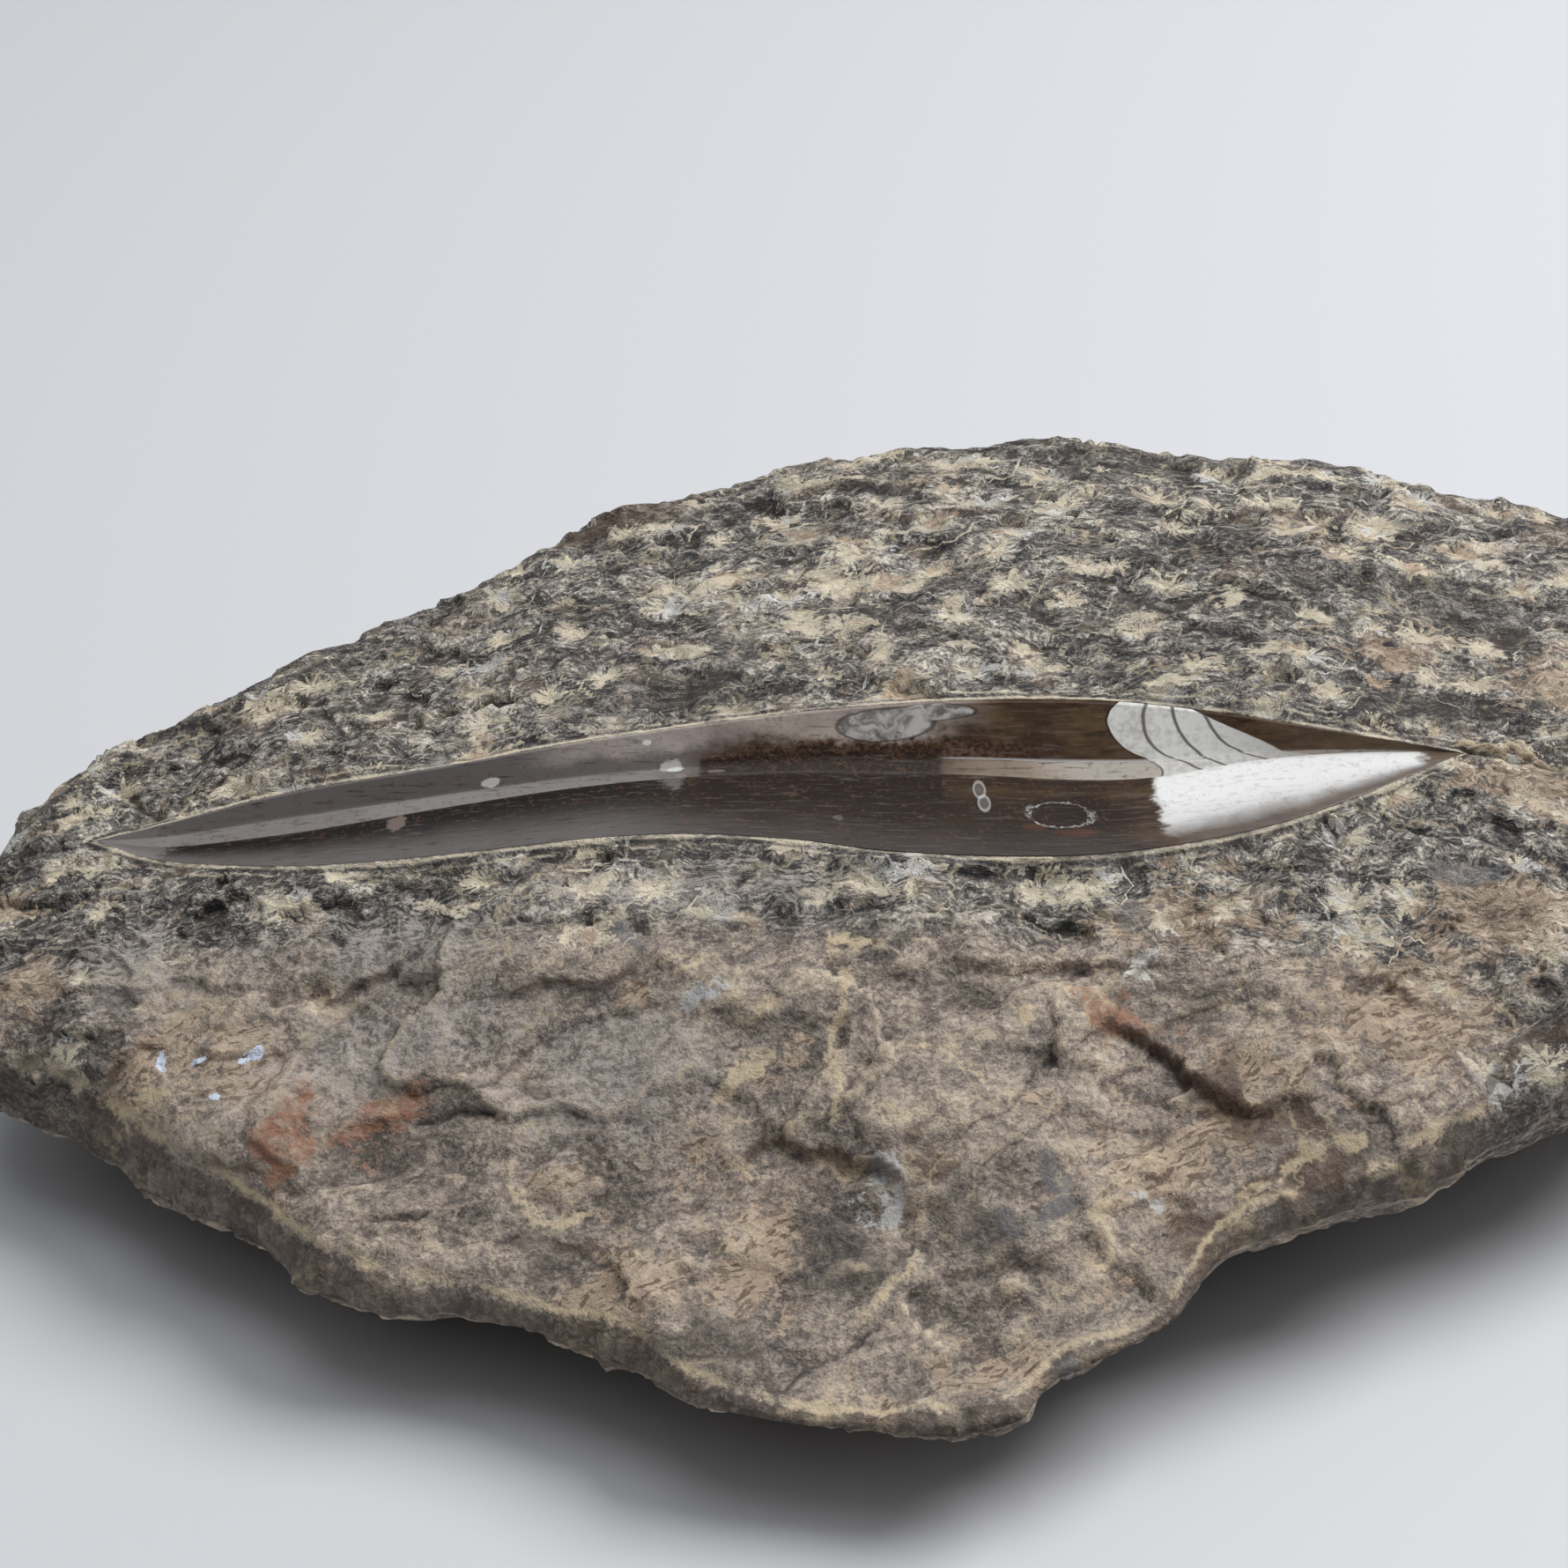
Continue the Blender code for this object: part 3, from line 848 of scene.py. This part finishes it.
def matrixStone():
    look = stoneLook
    material, bench, inputs = freshMaterial("chiselled limestone", look)
    blend, cloud, coat, fade, near = bench.blend, bench.cloud, bench.coat, bench.fade, bench.near
    place = bench.node("ShaderNodeTexCoord", out="Object") / mm
    mark = {
        name: bench.attribute(name)
        for name in ("height", "ridge", "crust", "seamAway", "rimAway", "belly",
                     "struck", "plane", "layer", "hollow", "crack", "vein", *spots)
    }
    crust = mark["crust"]
    curl = bench.bend(place, 2.6, 1)
    sway = bench.bend(place, 6.0, 14)
    drawn = (place + sway * 8 + curl) * (0.33, 1, 1)
    broad = cloud(place, 12.0, 3, 0.55, 2)
    patch = cloud(place + curl * 2.4, 3.0, 3, 0.6, 3)
    hue = cloud(place, 6.0, 3, 0.55, 13)
    ragged = cloud(place, 3.0, 3, 0.65, 8) - 0.5
    plainSpeck = cloud(place + curl * 0.5, 0.8, 3, 0.66, 4)
    drawnSpeck = cloud(drawn, 0.6, 3, 0.62, 4)
    speck = bench.slide(0.85 - crust * 0.65, plainSpeck, drawnSpeck)
    dust = cloud(place, 0.3, 2, 0.6, 5)

    def plateTone(at, width):            # flat flakes of uneven tone, drawn out along the stone
        return bench.axis(bench.cells(at, width, "Color"), "X") - 0.5

    plate = plateTone((place + curl * 2.6 + sway * 5) * (0.42, 1, 1), 1.7)
    chip = plateTone((place + curl * 1.6 + (speck - 0.5) * 0.8) * (0.5, 1, 1), 0.7)
    leaning = bench.turned(place + curl * 0.9 + sway * 4, -0.45)
    dashes = cloud(leaning * (0.26, 1, 1), 0.75, 2, 0.6, 12)
    liveliness = 1.0 - crust * 0.3
    grainy = fade(speck, 0.46, 0.54) - 0.5      # the same specks with crisp outlines
    tone = (
        look["tone"]
        + crust * look["crustTone"]
        + (broad - 0.5) * (0.55 + crust * 0.4)
        + (patch - 0.5) * 0.36
        + (hue - 0.5) * 0.35
        + plate * (0.34 - crust * 0.24)
        + chip * (0.34 - crust * 0.14)
        + grainy * (0.17 - crust * 0.06)
        + (speck - 0.5) * 0.95 * liveliness
        + (dust - 0.5) * 1.1 * liveliness
        + (dashes - 0.5) * crust * 0.5
        # the relief's highs lighter and its lows darker: wear and dust, with painted shade in the
        # hollows
        + mark["height"] * 0.06
        + mark["ridge"] * 0.4
        + mark["plane"] * (0.2 - crust * 0.1)
    )
    backTone, frontTone = (
        bench.node("ShaderNodeValToRGB", dict(stops=look[name]), {"Fac": tone})
        for name in ("backRamp", "frontRamp"))
    warmth = fade(crust + (broad - 0.5) * 1.2, 0.1, 0.7)
    bench.colour = blend(warmth, backTone, frontTone)

    # patches with ragged edges
    gritty = grainy * 0.55

    def patchShare(name, reach, edge=0.3):
        return fade(mark[name] + ragged * reach + gritty * 0.5, -0.02, edge)

    tanNoise = cloud(place, 7.5, 3, 0.62, 9)
    looseTan = fade(tanNoise + gritty * 0.1 - crust * 0.02, 0.58, 0.66)
    tanShare = bench.maths(
        "MAXIMUM", looseTan * (0.2 + crust * 0.45), patchShare("tan", 3.0, 0.6) * 0.62)
    coat(tanShare, "tan")
    coat(fade(dashes, 0.53, 0.59) * (tanShare + crust * 0.12), "umber")
    coat(patchShare("dark", 2.4, 0.5) * 0.5, "soot")
    looseDark = fade(tanNoise + (broad - 0.5) * 0.5 + gritty * 0.1, 0.42, 0.34)
    coat(looseDark * 0.32, "shade")
    coat(patchShare("ash", 2.2, 0.8) * (0.56 + grainy * 0.4), "ash")
    coat(patchShare("rust", 1.8, 0.35) * (0.66 + chip * 0.6), "rust")
    for name, reach, edge, share in look["darkPatches"]:
        coat(patchShare(name, reach, edge) * share, name)

    # chisel bruises: crushed pale stone in ragged streaks
    offset = bench.attribute("strikeOffset", "Vector")
    away = bench.measure("LENGTH", offset * (0.8, 1.15, 1))
    rays = cloud(bench.maths("NORMALIZE", offset) * 2.2 + place * 0.1, 1) - 0.5
    torn = away - rays * 6.0 + ragged * 2.6 + gritty * 1.5 + plate + chip * 0.9
    bruise = fade(torn, 1.55, 1.4) * mark["struck"]
    bruiseColour = blend(fade(hue, 0.57, 0.64), "cream", "tan")
    bruiseColour = blend(fade(hue, 0.46, 0.38), bruiseColour, "chalk")
    coat(bruise * (0.8 + chip * 0.4), bruiseColour)
    for name, reach, edge, share in look["palePatches"]:
        coat(patchShare(name, reach, edge) * share, name)

    # fine drawn-out strokes, pale and dark
    paleLine = near(drawnSpeck, 0.56, 0.02)
    strokeShare = fade(patch, 0.4, 0.6) * 0.5 * (1 - crust * 0.8)
    coat(paleLine * strokeShare, "cream")
    scores = cloud(drawn, 1.5, 3, 0.55, 7)
    darkLine = near(scores, 0.47, 0.022)
    scoreShare = (0.3 + fade(patch, 0.6, 0.42) * 0.4) * (1 - crust * 0.45)
    coat(darkLine * scoreShare, "soot")

    # layers: a dark line of painted shadow at the foot of each ledge and a worn pale one along its
    # crest
    level = bench.maths("FRACT", mark["layer"] + ragged * 0.12)
    present = fade(hue + ragged * 0.4, 0.46, 0.56)
    foot = bench.maths("MAXIMUM", fade(level, 0.05, 0.0), fade(level, 0.95, 1.0))
    coat(foot * present * 0.5, "umber")
    crestLine = near(level + gritty * 0.02, 0.17, 0.06)
    coat(crestLine * present * 0.22, "butter")

    # worn ridges are buttery in front, and hollows are darkened with dirt and painted shade
    crest = fade(mark["ridge"] + ragged * 0.7 + gritty * 0.1, 0.22, 0.6)
    coat(crest * crust * 0.4, "butter")
    pit = fade(mark["ridge"] + ragged * 0.25, -0.2, -0.75)
    coat(pit * 0.6, "soot")
    # painted shadow in umber at the foot of the listed ledges
    ledgeShadowShare = fade(mark["hollow"] + ragged * 1.2 + gritty * 0.5, 0.3, 1.1)
    coat(ledgeShadowShare * 0.66, "umber")

    # veins, and the pale broken edge of the front with a dirty face under it, darkened with painted
    # shadow beneath the lip
    veinShare = fade(mark["vein"] + ragged * 1.2 + gritty * 0.4, 0.5, 0.85)
    coat(veinShare * 0.6, "butter")
    veinNoise = cloud(place + curl * 4, 9.0, 3, 0.55, 11)
    looseVein = near(veinNoise + ragged * 0.05, 0.5, 0.018) * fade(broad, 0.48, 0.6)
    coat(looseVein * 0.45, "butter")
    front = fade(crust, 0.2, 0.6)
    patchy = fade(tanNoise + ragged * 0.35, 0.38, 0.56)
    rimAway = mark["rimAway"] + ragged * 2.0 + gritty * 0.3
    edge = near(rimAway, 1.9, 0.6) * front * patchy
    coat(edge * 0.75, "butter")
    blotchyDirtAndShade = fade(ragged + gritty * 0.1, -0.1, 0.2, 1.0, 0.55)
    # painted shadow and dirt on the face under the front lip
    lipShadowFace = fade(rimAway, 1.5, 1.1) * front
    coat(lipShadowFace * (blotchyDirtAndShade + chip * 0.6) * 0.66, "shade")
    # the underside darker brown away from the rim
    coat(mark["belly"] * blotchyDirtAndShade * 0.3, "umber")

    # the ground strip beside the cut: a pale line painted as a highlight on its rim, a dark line,
    # then bruised stone
    seam = mark["seamAway"]
    broken = fade(hue + ragged * 0.5, 0.4, 0.56, 0.35, 1.0)
    seamHighlight = near(seam + ragged * 0.3, 0.3, 0.34) * broken
    coat(seamHighlight * 0.9, "cream")
    darkSeam = near(seam + ragged * 0.4, 0.85, 0.3) * broken
    coat(darkSeam * 0.65, "soot")
    outerSeam = near(seam + ragged * 0.5, 1.5, 0.3) * fade(patch, 0.45, 0.55)
    coat(outerSeam * 0.6, "cream")

    coat(patchShare("fleck", 0.6, 0.12), "fleck")
    # painted shade darkening the inside of the cracks
    crackShadowShare = fade(mark["crack"] + ragged * 0.6 + gritty * 0.1, 0.7, 1.06)
    coat(crackShadowShare * 0.9, "crackInside")

    height = (
        (speck - 0.5) * 0.34 * liveliness + (patch - 0.5) * 0.35 + plate * 0.2
        + (dust - 0.5) * 0.09)
    finishMaterial(bench, inputs, look["roughness"], 1.0, height)
    return material


def fossilPiece():
    print("fossil: sections")
    count = slab["around"]
    steps = cut["rings"]
    k = np.arange(count)
    farSide = k <= count // 2
    rings, across = [], []
    for reach, sunk in (
        *((step / steps, cut["skin"]) for step in range(steps, -1, -4)),
        *((step / steps, 0) for step in range(steps + 1)),
    ):
        ring = troughSection(count, reach, sunk)
        edge = along(cut["facetReach"], ring[:, 0])
        wall = np.where(
            reach < edge, 1 - reach / edge / 4, 0.75 - (reach - edge) / (1 - edge) / 4)
        rings.append(ring)
        across.append(np.where(farSide, wall, reach / 2))
    values = dict(
        alongCut=np.concatenate([ring[:, 0] for ring in rings]), acrossCut=np.concatenate(across))
    return addObject("polished_fossil", loftMesh("fossil", rings, values))


# Places on the cut are along it in mm, and across it from 0 at the near rim, 0.5 at the
# crease and 0.75 at the far wall's foot edge, to 1 at the far rim. Chamber walls: across runs
# 0 at the far rim, 1 at the foot edge, 2 at the crease, each with the place along in mm.
fossilLook = dict(
    blackShell=(0.014, 0.011, 0.01),
    plumShell=(0.19, 0.168, 0.166),
    brownShell=(0.06, 0.034, 0.019),
    oliveShell=(0.13, 0.083, 0.042),
    amber=(0.2, 0.085, 0.03),
    redBrown=(0.024, 0.012, 0.008),
    porousLight=(0.15, 0.075, 0.045),
    tanBand=(0.42, 0.33, 0.25),
    greyBand=(0.3, 0.28, 0.275),
    haze=(0.2, 0.185, 0.18),
    film=(0.52, 0.45, 0.41),
    pebble=(0.6, 0.58, 0.56),
    pebbleDark=(0.17, 0.155, 0.15),
    calcite=(0.9, 0.89, 0.86),
    calciteShade=(0.62, 0.605, 0.57),
    septum=(0.12, 0.105, 0.09),
    frost=(0.92, 0.92, 0.92),
    redSpot=(0.16, 0.06, 0.04),
    pinkSpot=(0.33, 0.25, 0.23),
    polish=0.14,                  # roughness where nothing has worn
    shine=0.3,
    leftWall=[(0, 19.9), (0.24, 18.7), (0.46, 18.8), (0.72, 20), (0.86, 21.4), (0.96, 22.9),
              (1.2, 24), (2, 24.6)],
    septa=[
        [(0, 23), (0.3, 22.6), (0.64, 23.2), (0.88, 24.7), (1, 26), (1.76, 28.4), (2, 29)],
        [(0, 25.9), (0.32, 26.3), (0.64, 27.3), (0.94, 28.9), (1.88, 31.5), (2, 31.8)],
        [(0, 29.2), (0.2, 29.8), (0.44, 30.5), (0.76, 32), (0.92, 33.3), (1.5, 35.2), (2, 36.4)],
    ],
    rightWall=[(0, 28), (0.24, 31.3), (0.5, 34.3), (0.96, 37.8), (1.6, 40.4), (2, 41.6)],
    eyes=[(3.9, 0.42), (4.3, 0.34)],
    # spots: place along and across, half length, half width, share, colour
    spots=[
        (-30.4, 0.62, 1.9, 0.19, 0.7, "haze"), (-30.8, 0.74, 1.3, 0.06, 0.85, "calciteShade"),
        (-30.2, 0.7, 0.8, 0.04, 0.8, "frost"), (-29.6, 0.55, 0.8, 0.04, 0.6, "pinkSpot"),
        (-51, 0.79, 1.0, 0.035, 0.8, "calcite"), (-61.5, 0.42, 1.1, 0.08, 0.55, "pinkSpot"),
        (-25.6, 0.6, 0.9, 0.03, 0.6, "pinkSpot"), (-33.5, 0.93, 0.5, 0.02, 0.8, "calcite"),
        (3.9, 0.42, 0.5, 0.04, 0.5, "haze"), (4.3, 0.34, 0.6, 0.05, 0.5, "haze"),
        (14, 0.16, 2.6, 0.03, 0.4, "redSpot"), (9.5, 0.2, 1.6, 0.025, 0.35, "redSpot"),
        (-12, 0.2, 0.6, 0.02, 0.5, "haze"),
        # painted reflection grey across the left tip
        (-92, 0.5, 4.5, 0.8, 0.5, "greyBand"),
    ],
)


def fossilStone():
    look = fossilLook
    material, bench, inputs = freshMaterial("polished fossil", look)
    blend, cloud, coat, fade = bench.blend, bench.cloud, bench.coat, bench.fade
    place = bench.node("ShaderNodeTexCoord", out="Object") / mm
    drift = cloud(place, 3.5, 3, 0.55, 21) - 0.5
    fine = cloud(place, 0.7, 4, 0.65, 22) - 0.5
    mottle = cloud(place * (0.6, 1, 1), 5.0, 5, 0.62, 23) - 0.5
    scratch = cloud(place * (0.09, 1, 1), 0.42, 3, 0.6, 24) - 0.5
    pores = cloud(place, 0.55, 3, 0.7, 27)
    x = bench.attribute("alongCut")
    v = bench.attribute("acrossCut")
    roamX = x + drift * 4 + fine * 1.2
    roamV = v + drift * 0.1 + fine * 0.04

    def window(value, low, high, soft):
        opened = fade(value, low - soft, low + soft)
        return opened * fade(value, high + soft, high - soft)

    def line(value, reach):
        return fade(bench.maths("ABSOLUTE", value), reach, reach * 0.3)

    def outline(middleX, middleV, halfLength, halfWidth):    # 1 on the oval's outline
        offset = bench.flatVector((x - middleX) / halfLength, (v - middleV) / halfWidth)
        return bench.measure("LENGTH", offset)

    nearWall = fade(v, 0.51, 0.495)
    foot = window(v, 0.505, 0.745, 0.008)
    bench.colour = blend(fade(mottle + scratch * 0.3, -0.12, 0.14), "brownShell", "oliveShell")
    coat(fade(mottle, 0.08, 0.24) * window(roamX, -2, 24, 3) * 0.7, "amber")
    coat(fade(roamX, -20, -34) * (1 - nearWall), "plumShell")
    coat(fade(roamX, -24, -34) * nearWall, "blackShell")
    # the upper wall's grey film over the middle
    film = window(roamX, -44, 2, 5) * fade(roamV + mottle * 0.2, 0.82, 0.9)
    coat(film * (0.72 + mottle * 1.6 + fine), "film")
    # the middle: porous red brown, crumbly above, darkest beside the crease
    crumbTop = v + drift * 0.16 + fine * 0.12 + fade(x, -20, -30) * 0.04
    crumbs = window(roamX, -27.5, 16, 1.2) * window(crumbTop, 0.74, 0.83, 0.02)
    crumbColour = blend(fade(pores, 0.42, 0.6), "redBrown", "porousLight")
    coat(crumbs * fade(x, 16, 2) * 0.9, crumbColour)
    porous = window(x + fine * 0.8, -27.5, -0.2, 0.3) * window(crumbTop, 0.3, 0.8, 0.03)
    porousColour = blend(fade(pores, 0.52, 0.72) * 0.5, "redBrown", "porousLight")
    coat(porous * 0.92, porousColour)
    lowMiddle = window(roamX, -30, 22, 4.0) * fade(roamV, 0.5, 0.3)
    coat(lowMiddle * 0.75, "redBrown")
    darkNear = nearWall * window(roamX, -40, 22, 7)
    coat(darkNear * 0.5, "blackShell")
    underCrease = window(v, 0.44, 0.5, 0.02) * window(roamX, -1, 24, 2)
    coat(underCrease * 0.6, "redBrown")
    # painted reflection: a grey sheen along the near rim
    sheenReach = bench.slide(fade(x, -40, -20), 0.42, 0.26)
    rimSheen = fade((v + drift * 0.08) / sheenReach, 1.0, 0.1) * fade(x, 40, 10)
    coat(rimSheen * (0.22 + fade(x, -20, -40) * 0.5), "haze")
    # painted reflections: long light bands along the far wall's foot
    footReflection = foot * fade(roamX, -29, -34) * fade(x, -95, -84)
    coat(footReflection * (0.62 + scratch * 1.4), "greyBand")
    # painted reflection in light tan, whiter further to the right
    tanReflection = foot * fade(roamX, -1, 5) * (0.55 + fade(roamX, 6, 14) * 0.4)
    coat(tanReflection, "tanBand")
    coat(tanReflection * fade(roamX + roamV * 12, 16, 24) * 0.5, "calciteShade")
    # grit set in the dark stone, and drawn-out scratches
    coat(fade(fine, 0.05, 0.16) * 0.5, "porousLight")
    coat(fade(scratch, 0.05, 0.2) * 0.28, "haze")
    coat(fade(scratch, -0.06, -0.2) * 0.5, "blackShell")

    # a swirled spar pebble under the far rim, with a tail to the right
    pebble = outline(-6.6, 0.905, 5.2, 0.075)
    tail = outline(-1.2, 0.955, 4.8, 0.035)
    swirl = cloud((place + drift * 5) * (0.4, 1, 1), 1.3, 3, 0.6, 25)
    stony = blend(fade(swirl, 0.4, 0.62), "pebbleDark", "pebble")
    lump = bench.maths("MINIMUM", pebble, tail) + drift * 0.5
    coat(fade(lump, 1.04, 0.94) * 0.92, stony)
    coat(line(lump - 1.02, 0.09) * 0.6, "blackShell")
    for middleX, middleV, halfLength, halfWidth, share, shade in look["spots"]:
        away = outline(middleX, middleV, halfLength, halfWidth) + (drift + fine) * 1.4
        coat(fade(away, 1.15, 0.7) * share, shade)
    ring = line(outline(12.6, 0.28, 3.6, 0.08) - 1.0 + fine * 0.8 + drift, 0.08)
    coat(ring * (0.12 + fade(pores, 0.45, 0.6) * 0.4), "calcite")
    for middle in look["eyes"]:
        coat(line(outline(*middle, 0.62, 0.045) - 1.0, 0.3) * 0.3, "calcite")

    # the chambers: white calcite crossed by curved dark walls
    fall = (1 - v) * 2                     # 0 at the far rim, 0.5 at the foot edge, 1 at the crease

    def wallPlace(points):                 # the wall's place along, for each place across
        scaled = [(across / 2, (at - 15) / 30) for across, at in points]
        return bench.curve(fall, scaled) * 30 + 15

    shake = drift * 0.5 + fine * 0.15
    inside = fade(x - wallPlace(look["leftWall"]) + shake, -0.08, 0.12)
    inside = inside * fade(x - wallPlace(look["rightWall"]) + shake, 0.2, -0.15)
    inside = inside * (1 - nearWall)
    white = blend(fade(mottle + fine + foot * 0.12, -0.1, 0.25), "calcite", "calciteShade")
    white = blend(fade(scratch, 0.04, 0.16) * 0.4, white, "frost")
    rightSide = fade(x + drift * 4, 27, 37) * 0.45
    white = blend(rightSide, white, "calciteShade")
    coat(inside * 0.97, white)
    for points in look["septa"]:
        wall = line(x - wallPlace(points) + shake * 0.5, 0.33) * inside
        coat(wall * 0.9, "septum")
    leftEdge = line(x - wallPlace(look["leftWall"]) + shake + 0.12, 0.2) * (1 - nearWall)
    coat(leftEdge * 0.7, "blackShell")
    footEdge = line(v - 0.748, 0.012) * window(x, 0, 38, 1.0)
    coat(footEdge * 0.4, "frost")
    # beyond the chambers the far wall is olive brown
    beyond = fade(x, 34, 40) * (0.6 + mottle)
    coat(beyond * 0.3, "tanBand")
    # frosted spar on the near wall: white calcite, painted brighter to stand in for glare
    spread = x + drift * 5 + fine * 2
    sparAndGlare = window(spread, 23.6, 54, 0.7) * window(roamV, 0.12, 0.8, 0.07) * nearWall
    grit = fade(cloud(place, 0.5, 3, 0.65, 26) + drift * 0.5, 0.3, 0.44)
    spar = blend(grit, "calcite", "frost")
    spar = blend(fade(fine + scratch, 0.06, 0.18) * 0.55, spar, "pebble")
    # painted grey sheen near the near rim, over the spar
    clearingSheen = fade(roamV, 0.34, 0.14) * 0.5
    spar = blend(clearingSheen * (1 - grit * 0.5), spar, "haze")
    coat(sparAndGlare * 0.95, spar)
    # painted grey sheen along the near rim on the right
    lowSparSheen = window(roamX, 26, 57, 2.0) * fade(roamV, 0.22, 0.14)
    coat(lowSparSheen * 0.4, "haze")

    scored = fade(scratch, 0.05, 0.2)
    roughness = look["polish"] + porous * 0.14 + sparAndGlare * 0.25 + scored * 0.12
    pitted = 0.015 + porous * 0.1 + crumbs * 0.15 + sparAndGlare * 0.15
    finishMaterial(bench, inputs, roughness, 0.5, scratch * 0.02 + fine * pitted)
    return material


def makeStudio():
    size = studio["floorSize"]
    mesh = bpy.data.meshes.new("floor")
    mesh.from_pydata(
        [(-size, -size, 0), (size, -size, 0), (size, size, 0), (-size, size, 0)], [], [(0, 1, 2, 3)])
    floor = addObject("floor", mesh)
    material, _, inputs = freshMaterial("pale paper")
    inputs["Base Color"].default_value = (*studio["floorColour"], 1)
    inputs["Roughness"].default_value = studio["floorRoughness"]
    mesh.materials.append(material)

    world = bpy.data.worlds.new("soft sky")
    world.use_nodes = True
    bench = Bench(world.node_tree)
    heading = bench.node("ShaderNodeTexCoord", out="Generated")
    lift = bench.measure("DOT_PRODUCT", heading, studio["skyTowards"])
    sky = world.node_tree.nodes["Background"]
    sky.inputs["Color"].default_value = studio["skyColour"]
    glow = bench.fade(lift, 0.08, 1.0, studio["skyLow"], studio["skyHigh"])
    seen = bench.node("ShaderNodeLightPath", out="Is Camera Ray")
    bench.feed(sky.inputs["Strength"], bench.slide(seen, glow, studio["backdrop"]))
    bpy.context.scene.world = world

    for name in ("key", "top"):
        data = bpy.data.lights.new(name, "AREA")
        data.shape = "DISK"
        data.size = studio[name + "Size"]
        data.energy = studio[name + "Power"]
        lamp = addObject(name, data)
        lamp.location = studio[name + "Place"]
        lamp.rotation_euler = (-Vector(lamp.location)).to_track_quat("-Z", "Y").to_euler()
        lamp.visible_camera = False

    rise = math.radians(studio["elevation"])
    aim = Vector(studio["aim"])
    back = Vector((0, -math.cos(rise), math.sin(rise)))
    data = bpy.data.cameras.new("camera")
    data.sensor_width = 36
    data.lens = 18 / math.tan(math.radians(studio["fieldOfView"] / 2))
    data.clip_start = 0.01
    camera = addObject("camera", data)
    camera.location = aim + back * studio["distance"]
    camera.rotation_euler = (-back).to_track_quat("-Z", "Y").to_euler()
    bpy.context.scene.camera = camera
    bpy.context.scene.view_settings.view_transform = "Standard"


def settle(pieces, middle):
    # from the slab's own mm to metres over the origin, never under the base plane
    for piece in pieces:
        mesh = piece.data
        places = (vertexPlaces(mesh) - middle) * mm
        places[:, 2] = np.maximum(places[:, 2], 0)
        mesh.vertices.foreach_set("co", places.ravel())
        mesh.update()
        mesh.shade_smooth()


# Parts of a map: where faces that show lie and where hidden ones do, as size and corner.
mapParts = dict(shown=((0.99, 0.93), (0.005, 0.065)), hidden=((0.99, 0.05), (0.005, 0.005)))


def mapFromAbove(piece, hidden):
    mesh = piece.data
    places = vertexPlaces(mesh)[:, :2]
    low, high = places.min(axis=0), places.max(axis=0)
    flat, strip = (
        (places - low) / (high - low) * mapParts[name][0] + mapParts[name][1]
        for name in ("shown", "hidden"))
    corners = readAll(mesh.loops, "vertex_index", kind=np.int32)
    totals = readAll(mesh.polygons, "loop_total", kind=np.int32)
    face = np.repeat(np.arange(len(totals)), totals)
    uv = np.where(hidden[face][:, None], strip[corners], flat[corners])
    layer = mesh.uv_layers.new(name="OFBake")
    layer.data.foreach_set("uv", uv.astype(np.float32).ravel())


def downwardFaces(mesh):
    return readAll(mesh.polygons, "normal", 3)[:, 2] < 0


def innerFaces(mesh):
    return readAll(mesh.attributes["inner"].data, "value", kind=np.int32) > 0


def splitAtRim(block):
    # the top face and the underside as two closed shells that meet inside the stone
    halves = []
    for name, isUnder in (("limestone_top", False), ("limestone_underside", True)):
        work = bmesh.new()
        work.from_mesh(block.data)
        under = work.verts.layers.float["under"]
        other = [f for f in work.faces if any(v[under] > 0.5 for v in f.verts) != isUnder]
        bmesh.ops.delete(work, geom=other, context="FACES")
        # behind the rim the shell steps in, then runs to one point low in the stone
        edges = [e for e in work.edges if e.is_boundary]
        corners = [v for v in work.verts if v.is_boundary]
        heart = sum((v.co for v in corners), Vector()) / len(corners)
        heart.z = slab["heartHeight"]
        within = {}
        for v in corners:
            inward = Vector((heart.x - v.co.x, heart.y - v.co.y, 0)).normalized()
            step = inward * slab["capInset"] - Vector((0, 0, slab["capDrop"]))
            within[v] = work.verts.new(v.co + step)
        middle = work.verts.new(heart)
        inner = work.faces.layers.int.new("inner")
        for e in edges:
            first, second = e.verts
            for sides in ((first, second, within[second], within[first]),
                          (within[first], within[second], middle)):
                work.faces.new(sides)[inner] = 1
        bmesh.ops.recalc_face_normals(work, faces=work.faces)
        mesh = bpy.data.meshes.new(name)
        work.to_mesh(mesh)
        work.free()
        mesh.materials.append(block.data.materials[0])
        halves.append(addObject(name, mesh))
    bpy.data.objects.remove(block)
    return halves


print("studio")
makeStudio()
block = matrixBlock()
lumps(block.data)
places = vertexPlaces(block.data)
low, high = places.min(axis=0), places.max(axis=0)
middle = np.array([(low[0] + high[0]) / 2, (low[1] + high[1]) / 2, 0])
print("matrix: relief")
applyTree(block, reliefTree(), dict(relief, Material=matrixStone()))
halves = splitAtRim(block)
fossil = fossilPiece()
fossil.data.materials.append(fossilStone())
pieces = [*halves, fossil]
settle(pieces, middle)
print("maps")
for half in halves:
    mapFromAbove(half, innerFaces(half.data))
mapFromAbove(fossil, downwardFaces(fossil.data))
for piece in pieces:
    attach(piece, "root")
    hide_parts("fossil_plate")
print("triangles", {p.name: sum(len(f.vertices) - 2 for f in p.data.polygons) for p in pieces})
